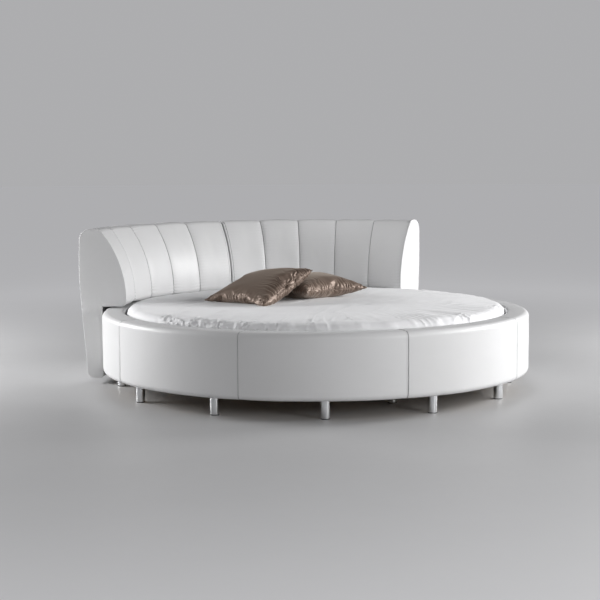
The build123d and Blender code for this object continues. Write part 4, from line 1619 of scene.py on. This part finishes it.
@dataclass(frozen=True)
class Mattress:
    """The round mattress with its quilted side and its fitted sheet."""

    radius: float = 1.046
    top: float = 0.455
    thickness: float = 0.189
    crown: float = 0.025
    top_round: float = 0.052
    bottom_round: float = 0.022
    sheet_gap: float = 0.3 * MM
    sheet: float = 1.5 * MM
    hem_height: float = 0.012
    dome_rows: int = 66
    edge_rows: int = 20
    quilt_columns: int = 480
    quilt_pitch: float = 0.09
    fine_cell: float = 4.2 * MM
    coarse_cell: float = 10.5 * MM
    fine_from: float = math.radians(184)
    fine_to: float = math.radians(326)
    side_spacing: tuple[float, float] = (5 * MM, 12 * MM)
    wrinkles: Wrinkles = Wrinkles()

    @property
    def bottom(self) -> float:
        """Height of the mattress's underside."""
        return self.top - self.thickness

    def dome_at(self, radius: np.ndarray) -> np.ndarray:
        """Height of the dome over the mattress's edge: a shallow sphere."""
        reach = self.radius - self.top_round
        sphere = (reach**2 + self.crown**2) / (2 * self.crown)
        return self.crown - sphere + np.sqrt(sphere**2 - np.minimum(radius, reach) ** 2)

    def section(self, grow: float, bottom: float) -> np.ndarray:
        """Half section from the middle of the top, round the edge and down.

        Args:
            grow: Distance outside the mattress's own face.
            bottom: Height where the section ends.

        Returns:
            Points (n, 2) as radius and height.
        """
        reach = self.radius - self.top_round
        share = np.linspace(0, 1, self.dome_rows)
        radius = reach * (1 - (1 - share) ** 1.7)
        dome = np.stack([radius, self.top + grow + self.dome_at(radius)], axis=1)[1:]
        rounding = self.top_round + grow
        turn = np.linspace(0, math.pi / 2, self.edge_rows)[1:]
        level = self.top + grow - rounding * (1 - np.cos(turn))
        edge = np.stack([reach + rounding * np.sin(turn), level], axis=1)
        last = edge[-1]
        count = max(2, math.ceil((last[1] - bottom) / (9 * MM)))
        side = np.linspace(last, [last[0], bottom], count + 1)[1:]
        return np.concatenate([dome, edge, side])

    def build_sheet(self) -> None:
        """Make the fitted sheet: a polar grid over the mattress, closed in its middle."""
        grow = self.sheet_gap + self.sheet
        hem = self.bottom + self.bottom_round + self.hem_height
        path = self.section(grow, hem)
        fine = math.ceil((self.fine_to - self.fine_from) * self.radius / self.fine_cell)
        coarse_turn = 2 * math.pi + self.fine_from - self.fine_to
        coarse = math.ceil(coarse_turn * self.radius / self.coarse_cell)
        front = np.linspace(self.fine_from, self.fine_to, fine, endpoint=False)
        back = np.linspace(self.fine_to, self.fine_to + coarse_turn, coarse, endpoint=False)
        turn = np.concatenate([front, back])[None, :]
        along = lengths_along(path)[:, None]
        normal = -outward(path)
        normal = np.where(normal[:, 1:] < -0.01, -normal, normal)
        height = self.wrinkles.at(along, path[:, :1], turn)
        points = raised(path, normal, height, turn)[::-1]
        rows, columns = points.shape[:2]
        faces = quads(rows, columns, wrap_columns=True).tolist()
        pole = rows * columns
        ring = np.arange(columns) + (rows - 1) * columns
        faces += np.stack([ring, np.roll(ring, -1), np.full(columns, pole)], axis=1).tolist()
        centre = points[-1].mean(axis=0)[None]
        points = np.concatenate([points.reshape(-1, 3), centre])
        piece = put_mesh("bed_sheet", points, faces, closed=False, sharp_degrees=180)
        settle(piece, Body.MATTRESS, COTTON, ["fitted_sheet"])

    def build_ticking(self) -> None:
        """Make the quilted cover: its side in lozenges of stitched lines, with corded edges."""
        corners = [
            (0.02, self.bottom, 0),
            (self.radius, self.bottom, self.bottom_round),
            (self.radius, self.top, self.top_round),
            (0.02, self.top + 2 * MM, 0),
        ]
        path = rounded_path(corners, *self.side_spacing)
        height = path[:, 1]
        over = height > self.top - self.top_round / 2
        dome = self.dome_at(path[:, 0]) * smooth_step(height, self.top - 17 * MM, self.top)
        path[:, 1] = np.where(over, height + dome, height)
        turn = np.linspace(0, 2 * math.pi, self.quilt_columns, endpoint=False)[None, :]
        along = lengths_along(path)[:, None]
        arc = turn * self.radius
        girth = 2 * math.pi * self.radius
        pitch = girth / round(girth / self.quilt_pitch)
        slants = [np.abs((slant / pitch) % 1 - 0.5) * 2 for slant in (arc + along, arc - along)]
        lines = np.maximum(*(bump(slant, 1, 0.16) for slant in slants))
        wall = smooth_step(path[:, 1:], self.bottom, self.bottom + 0.01)
        wall = wall * (path[:, :1] > self.radius - 0.03)
        cord = 2.2 * MM * bump(path[:, 1:], self.bottom + 24 * MM, 3 * MM) * wall
        depth = -2.4 * MM * lines * (0.25 + 0.75 * wall) + cord * 0.4 - 0.6 * MM
        piece = put_rings("mattress_ticking", raised(path, outward(path), depth, turn))
        nodes = ["mattress_cover", "mattress_base_panel"]
        settle(piece, Body.MATTRESS, TICKING, nodes)


# ---------------------------------------------------------------- cushions

FILLING_FRAMES = 33
FILLING = {
    "quality": 6,
    "mass": 0.25,
    "tension_stiffness": 25,
    "compression_stiffness": 25,
    "shear_stiffness": 8,
    "bending_stiffness": 1.2,
    "air_damping": 4,
    "use_pressure": True,
    "uniform_pressure_force": 5.5,
}


@dataclass(frozen=True)
class Gather:
    """Folds that run in from one side of a cushion's seam."""

    side: int
    depth: float
    reach: float
    pitch: float
    middle: float = 0.5
    spread: float = 0.6


def finer(count: int, fine: int) -> np.ndarray:
    """Weights that carry evenly spaced values to a finer even spacing by smooth cubic curves.

    Args:
        count: Number of given values.
        fine: Number of values wanted over the same run.

    Returns:
        Matrix (fine, count).
    """
    place = np.linspace(0, count - 1, fine)
    base = np.clip(np.floor(place).astype(int), 0, count - 2)
    t = place - base
    shares = (
        -0.5 * t + t**2 - 0.5 * t**3,
        1 - 2.5 * t**2 + 1.5 * t**3,
        0.5 * t + 2 * t**2 - 1.5 * t**3,
        -0.5 * t**2 + 0.5 * t**3,
    )
    weights = np.zeros((fine, count))
    for step, share in enumerate(shares):
        np.add.at(weights, (np.arange(fine), np.clip(base + step - 1, 0, count - 1)), share)
    return weights


def split(points: np.ndarray, count: int) -> tuple[np.ndarray, np.ndarray]:
    """Upper and lower panel of a cover as square grids that share their outer edge."""
    upper = points[: count * count].reshape(count, count, 3)
    lower = upper.copy()
    lower[1:-1, 1:-1] = points[count * count :].reshape(count - 2, count - 2, 3)
    return upper, lower


def joined(upper: np.ndarray, lower: np.ndarray) -> np.ndarray:
    """Points of a cover from its two panels, the shared edge taken once."""
    return np.concatenate([upper.reshape(-1, 3), lower[1:-1, 1:-1].reshape(-1, 3)])


@dataclass(frozen=True)
class ScatterCushion:
    """A square satin cushion: two flat panels sewn together and filled."""

    word: str
    body: Body
    place: tuple[float, float]
    turn: float
    tilt: float
    seam_height: float
    sink: float
    gathers: tuple[Gather, ...]
    seed: int
    half_side: float = 0.238
    rise: float = 0.084
    skew: float = 0.0
    droop: float = 0.0
    belly: float = 0.0
    sheet_top: float = 0.4818
    sheet_fall: float = 0.025
    cells: int = 48
    fine_cells: int = 156

    def panels(self, count: int) -> tuple[np.ndarray, np.ndarray, np.ndarray]:
        """Flat cover: two square grids that share their outer edge.

        Args:
            count: Points along a side.

        Returns:
            The square's coordinates of each point from -1 to 1, the faces, and which panel each
            point lies on: 1 above, -1 below and 0 on the seam.
        """
        number = np.arange(count * count).reshape(count, count)
        line = np.linspace(-1, 1, count)
        u, v = np.meshgrid(line, line, indexing="ij")
        inner = np.zeros((count, count), bool)
        inner[1:-1, 1:-1] = True
        lower = number.copy()
        lower[inner] = count * count + np.arange(inner.sum())
        runs = [slice(None, -1), slice(1, None)]
        around = [(0, 0), (1, 0), (1, 1), (0, 1)]
        above = np.stack([number[runs[i], runs[j]] for i, j in around], axis=-1)
        below = np.stack([lower[runs[j], runs[i]] for i, j in around], axis=-1)
        faces = np.concatenate([above.reshape(-1, 4), below.reshape(-1, 4)])
        square = np.stack([np.append(u, u[inner]), np.append(v, v[inner])], axis=1)
        layer = np.concatenate([inner.ravel().astype(float), -np.ones(inner.sum())])
        return square, faces, layer

    def filled(self, square: np.ndarray, faces: np.ndarray, layer: np.ndarray) -> np.ndarray:
        """Shape of the filled cover before its own gathers.

        Cloth simulation blows the panels up from inside, starting from a low crown that is the
        product of the two directions' arches.

        Args:
            square: Coordinates on the square.
            faces: Faces of the cover.
            layer: Panel of each point.

        Returns:
            Points (n, 3) with the seam about height 0.
        """
        u, v = square[:, 0], square[:, 1]
        arch = (1 - u**2) * (1 - v**2)
        start = np.stack([u * self.half_side, v * self.half_side, layer * arch * 14 * MM], axis=1)
        start = start + 0.3 * MM * np.random.default_rng(self.seed).normal(size=start.shape)
        piece = put_mesh(f"filling_{self.word}", start, faces.tolist(), closed=False)
        cloth = piece.modifiers.new("fill", "CLOTH")
        for key, value in FILLING.items():
            setattr(cloth.settings, key, value)
        cloth.settings.effector_weights.gravity = 0
        cloth.collision_settings.use_collision = False
        cloth.point_cache.frame_end = FILLING_FRAMES
        scene = bpy.context.scene
        for frame_number in range(1, FILLING_FRAMES + 1):
            scene.frame_set(frame_number)
        evaluated = piece.evaluated_get(bpy.context.evaluated_depsgraph_get())
        result = np.empty(len(start) * 3, np.float32)
        evaluated.data.vertices.foreach_get("co", result)
        scene.frame_set(1)
        bpy.data.objects.remove(piece)
        return result.reshape(-1, 3).astype(float)

    def smoothed(self, points: np.ndarray, count: int) -> np.ndarray:
        """Even out the cover's buckles and carry it to the fine grid.

        Each panel's inner points move four times to the mean of their neighbours, and then
        smooth curves in both directions carry the panel to the fine spacing.

        Args:
            points: Points of the coarse cover.
            count: Points along its side.

        Returns:
            Points of the fine cover in the order of its panels.
        """
        weights = finer(count, self.fine_cells + 1)
        panels = []
        for panel in split(points, count):
            for _ in range(4):
                mean = panel[:-2, 1:-1] + panel[2:, 1:-1] + panel[1:-1, :-2] + panel[1:-1, 2:]
                panel = panel.copy()
                panel[1:-1, 1:-1] = 0.4 * panel[1:-1, 1:-1] + 0.15 * mean
            panels.append(np.einsum("ai,bj,ijk->abk", weights, weights, panel))
        return joined(*panels)

    def sized(self, points: np.ndarray, square: np.ndarray, layer: np.ndarray) -> np.ndarray:
        """Bring the filled shape to the cushion's own size: corners, rise and sink."""
        points = points - points[layer == 0].mean(axis=0)
        corner = np.abs(square).min(axis=1) > 0.999
        reach = np.abs(points[corner, :2]).mean()
        points[:, :2] *= self.half_side / reach
        points[:, 2] *= 1 + self.skew * square[:, 0] * (layer > 0)
        high, low = points[:, 2].max(), -points[:, 2].min()
        points[:, 2] *= np.where(points[:, 2] > 0, self.rise / high, self.sink / low)
        return points

    def away(self, points: np.ndarray) -> np.ndarray:
        """Directions that point out of the fine cover: the cross product of its grids' runs."""
        ways = []
        for panel, sign in zip(split(points, self.fine_cells + 1), (1, -1)):
            way = sign * np.cross(np.gradient(panel, axis=0), np.gradient(panel, axis=1))
            ways.append(way / np.maximum(np.linalg.norm(way, axis=2, keepdims=True), 1e-12))
        return joined(*ways)

    def gathered(self, points: np.ndarray, square: np.ndarray, layer: np.ndarray) -> np.ndarray:
        """Add the folds that run in from the seam.

        Each fold is a rounded ridge across the side, its height falling off with the distance
        from the seam and its spacing and reach uneven along the side; the corners crinkle.

        Args:
            points: Shape of the cover.
            square: Coordinates on the square.
            layer: Panel of each point.

        Returns:
            Shape with the folds, moved out along the cover's own directions.
        """
        u, v = square[:, 0], square[:, 1]
        lift = np.zeros(len(points))
        for number, fold in enumerate(self.gathers):
            across, along = ((1 - u, v), (1 - v, u), (1 + u, v), (1 + v, u))[fold.side]
            distance = across * self.half_side
            run = (along + 1) / 2
            seed = self.seed + 11 * number
            place = run * 2 * self.half_side / fold.pitch
            place = place + 1.1 * smooth_noise(run * 9, 0 * run + seed, seed)
            place = place + 0.6 * smooth_noise(run * 12, distance / (30 * MM), seed + 1)
            ridge = 1 - np.abs((place % 1) * 2 - 1) ** 1.5
            own = 0.7 + 0.3 * smooth_noise(np.floor(place) + 0.5, 0 * run + 0.5, seed + 2)
            uneven = np.abs(smooth_noise(np.floor(place) * 0.7 + 0.3, 0 * run + 0.5, seed + 3))
            reach = fold.reach * (0.55 + 1.1 * uneven)
            fall = np.exp(-((distance / reach) ** 2.2)) * smooth_step(distance, 0, 8 * MM)
            lift += fold.depth * ridge * own * fall * bump(run, fold.middle, fold.spread)
        corner = np.hypot(1 - np.abs(u), 1 - np.abs(v)) * self.half_side
        crinkle = smooth_noise(u * 18 + 3, v * 18 + 5, self.seed + 5)
        crinkle = crinkle * bump(corner, 0, 0.05) * smooth_step(corner, 0, 6 * MM)
        lift += 5.5 * MM * crinkle
        edge, run = (1 + v) * self.half_side, (u + 1) / 2
        hang = self.belly * bump(edge, 42 * MM, 40 * MM) * bump(run, 0.42, 0.42) * (layer < 0)
        share = np.where(layer > 0, 1.0, 0.6) * np.abs(layer)
        folded = points + self.away(points) * (lift * share + hang)[:, None]
        folded[:, 2] -= self.droop * (1 + u) * (1 + v) / 4
        return folded

    def laid(self, points: np.ndarray) -> np.ndarray:
        """Turn and tilt the cushion and set its seam at its height on the sheet."""
        tilt = Matrix.Rotation(self.tilt, 3, "Y")
        turn = Matrix.Rotation(self.turn, 3, "Z")
        turned = points @ np.array(turn @ tilt).T
        return turned + [*self.place, self.sheet_top + self.seam_height]

    def resting(self, points: np.ndarray, below: np.ndarray | None) -> np.ndarray:
        """Raise what would sink into the sheet, or into the cushion below.

        The cushion below is read as a map of its highest points in small squares.

        Args:
            points: Points of this cushion.
            below: Points of the cushion below.

        Returns:
            Points that stay clear.
        """
        points = points.copy()
        fall = self.sheet_fall * (points[:, 0] ** 2 + points[:, 1] ** 2)
        points[:, 2] = np.maximum(points[:, 2], self.sheet_top + 1.5 * MM - fall)
        if below is None:
            return points
        cell, margin = 6 * MM, 12 * MM
        corner = below[:, :2].min(axis=0) - margin
        shape = np.ceil((below[:, :2].max(axis=0) - corner) / cell).astype(int) + 3
        heights = np.full(shape, -1.0)
        row, column = ((below[:, :2] - corner) / cell).astype(int).T
        np.maximum.at(heights, (row, column), below[:, 2])
        row, column = np.clip(((points[:, :2] - corner) / cell).astype(int), 1, shape - 2).T
        steps = (-1, 0, 1)
        around = [heights[row + step, column + side] for step in steps for side in steps]
        points[:, 2] = np.maximum(points[:, 2], np.max(around, axis=0) + 0.8 * MM)
        return points

    def build(self, below: np.ndarray | None = None) -> np.ndarray:
        """Make the cushion, unrolled along its panels for the weave.

        Args:
            below: Points of the cushion that this one leans on.

        Returns:
            Points of the cushion where it lies.
        """
        coarse = self.cells + 1
        points = self.smoothed(self.filled(*self.panels(coarse)), coarse)
        square, faces, layer = self.panels(self.fine_cells + 1)
        points = self.sized(points, square, layer)
        points = self.resting(self.laid(self.gathered(points, square, layer)), below)
        name = f"scatter_cushion_{self.word}"
        piece = put_mesh(name, points, faces.tolist(), sharp_degrees=180)
        unrolled = piece.data.uv_layers.new(name="unrolled")
        corners = np.empty(len(piece.data.loops), np.int32)
        piece.data.loops.foreach_get("vertex_index", corners)
        flat = (square[corners] * self.half_side).astype(np.float32)
        unrolled.data.foreach_set("uv", flat.ravel())
        settle(piece, self.body, SATIN, [f"cushion_{self.word}"])
        return points


# ---------------------------------------------------------------- studio


@dataclass(frozen=True)
class SoftBox:
    """A rectangular soft light that hangs at a place and faces a target."""

    name: str
    place: Place
    target: Place
    size: tuple[float, float]
    watts: float


SOFT_BOXES = (
    SoftBox("right box", (5.0, -1.5, 2.3), (0, 0, 0.4), (2.2, 1.8), watts=92),
    SoftBox("low right box", (3.7, -4.5, 1.3), (0.4, 0, 0.3), (1.5, 1.0), watts=72),
    SoftBox("right back box", (4.4, 0.9, 2.0), (0.6, 0, 0.3), (1.6, 1.4), watts=150),
    SoftBox("left back box", (-4.6, 1.2, 1.8), (-0.8, 0, 0.3), (1.8, 1.4), watts=150),
    SoftBox("left near box", (-3.5, -0.3, 0.85), (-1.2, 0, 0.4), (1.0, 1.0), watts=34),
    SoftBox("front box", (0.3, -6.0, 2.4), (0, 0, 0.4), (2.0, 1.5), watts=26),
)


@dataclass(frozen=True)
class Studio:
    """Camera, floor, soft lights and air.

    Places are given in the camera's level frame: x to the right, y away from it and z up, with
    the bed's axis at 0.
    """

    view_turn: float = math.radians(-28.4)
    camera_place: Place = (-0.0856, -7.9868, 1.2693)
    pitch: float = math.radians(5.675)
    roll: float = math.radians(0.2276)
    lens: float = 86.03
    sensor: float = 36.0
    clip: tuple[float, float] = (0.1, 200.0)
    floor_reach: float = 60.0
    floor_near: float = 0.5
    floor_middle: float = 0.02
    floor_rings: int = 24
    floor_sides: int = 96
    floor_drop: float = 0.2 * MM
    air: Colour = (0.088, 0.088, 0.092)
    backdrop: Colour = (0.42, 0.42, 0.43)

    def at(self, x: float, y: float, z: float) -> Vector:
        """Place in the bed's frame of a place in the camera's level frame."""
        return Matrix.Rotation(self.view_turn, 3, "Z") @ Vector((x, y, z))

    def put_camera(self) -> None:
        """Make the camera at the photograph's viewpoint."""
        data = bpy.data.cameras.new("camera")
        data.lens, data.sensor_width = self.lens, self.sensor
        data.clip_start, data.clip_end = self.clip
        camera = bpy.data.objects.new("camera", data)
        right, up = Vector((1, 0, 0)), Vector((0, math.sin(self.pitch), math.cos(self.pitch)))
        ahead = Vector((0, math.cos(self.pitch), -math.sin(self.pitch)))
        turned_right = right * math.cos(self.roll) - up * math.sin(self.roll)
        turned_up = right * math.sin(self.roll) + up * math.cos(self.roll)
        axes = Matrix((turned_right, turned_up, -ahead)).transposed()
        level = Matrix.Rotation(self.view_turn, 3, "Z") @ axes
        camera.matrix_world = Matrix.Translation(self.at(*self.camera_place)) @ level.to_4x4()
        bpy.context.scene.collection.objects.link(camera)
        bpy.context.scene.camera = camera

    def put_light(self, box: SoftBox) -> None:
        """Hang a soft box."""
        data = bpy.data.lights.new(box.name, "AREA")
        data.shape = "RECTANGLE"
        data.size, data.size_y = box.size
        data.energy = box.watts
        light = bpy.data.objects.new(box.name, data)
        light.location = self.at(*box.place)
        direction = self.at(*box.target) - light.location
        light.rotation_mode = "QUATERNION"
        light.rotation_quaternion = direction.to_track_quat("-Z", "Y")
        bpy.context.scene.collection.objects.link(light)

    def put_floor(self) -> None:
        """Make the plain pale floor: rings that grow wider away from the bed."""
        rings = np.geomspace(self.floor_reach, self.floor_near, self.floor_rings)
        radius = np.append(rings, self.floor_middle)[:, None]
        turn = np.linspace(0, 2 * math.pi, self.floor_sides, endpoint=False)[None, :]
        points = round_the_axis(radius, np.full_like(radius, -self.floor_drop), turn)
        faces = quads(*points.shape[:2], wrap_columns=True).tolist()
        middle = np.arange(self.floor_sides) + self.floor_rings * self.floor_sides
        faces.append(middle.tolist())
        floor = put_mesh("studio_floor", points, faces, closed=False)
        coat(floor, PALE_FLOOR)

    def build(self) -> None:
        """Set up the whole studio."""
        self.put_camera()
        self.put_floor()
        for box in SOFT_BOXES:
            self.put_light(box)
        world = bpy.data.worlds.new("studio air")
        bpy.context.scene.world = world
        world.use_nodes = True
        tree = Tree(world.node_tree)
        seen = tree.add("ShaderNodeLightPath").outputs["Is Camera Ray"]
        colour = tree.blend(seen, rgba(self.air), rgba(self.backdrop))
        air = tree.add("ShaderNodeBackground", {"Color": colour, "Strength": 1.0})
        output = tree.add("ShaderNodeOutputWorld")
        tree.tree.links.new(air.outputs[0], output.inputs[0])
        bpy.context.scene.view_settings.view_transform = "Standard"


REAR_GATHERS = tuple(Gather(side, depth=5 * MM, reach=0.045, pitch=0.024) for side in (0, 1))

CUSHIONS = (
    ScatterCushion(
        word="right",
        body=Body.RIGHT_CUSHION,
        place=(0.032, 0.144),
        turn=math.radians(14.4),
        tilt=0.0,
        seam_height=0.050,
        sink=0.060,
        gathers=(
            Gather(side=3, depth=10 * MM, reach=0.070, pitch=0.024),
            Gather(side=2, depth=11 * MM, reach=0.070, pitch=0.025, spread=0.7),
            *REAR_GATHERS,
        ),
        seed=21,
    ),
    ScatterCushion(
        word="left",
        body=Body.LEFT_CUSHION,
        place=(-0.322, 0.060),
        turn=math.radians(22.2),
        tilt=math.radians(-21),
        seam_height=0.087,
        sink=0.052,
        half_side=0.221,
        skew=0.15,
        rise=0.072,
        droop=0.058,
        belly=0.024,
        gathers=(
            Gather(side=3, depth=14 * MM, reach=0.078, pitch=0.023, spread=0.75),
            Gather(side=2, depth=9 * MM, reach=0.050, pitch=0.021),
            *REAR_GATHERS,
        ),
        seed=77,
    ),
)


def main() -> None:
    """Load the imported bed, dress it and set up the studio."""
    logging.basicConfig(level=logging.INFO, format="%(name)s: %(message)s")
    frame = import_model()
    for name, node in frame["nodes"].items():
        coat(node, finish_of(name))
    RimCover().build()
    for side in Side:
        Headboard().build(side)
    mattress = Mattress()
    mattress.build_ticking()
    mattress.build_sheet()
    below = None
    for cushion in CUSHIONS:
        below = cushion.build(below)
    Studio().build()


if __name__ == "__main__":
    main()
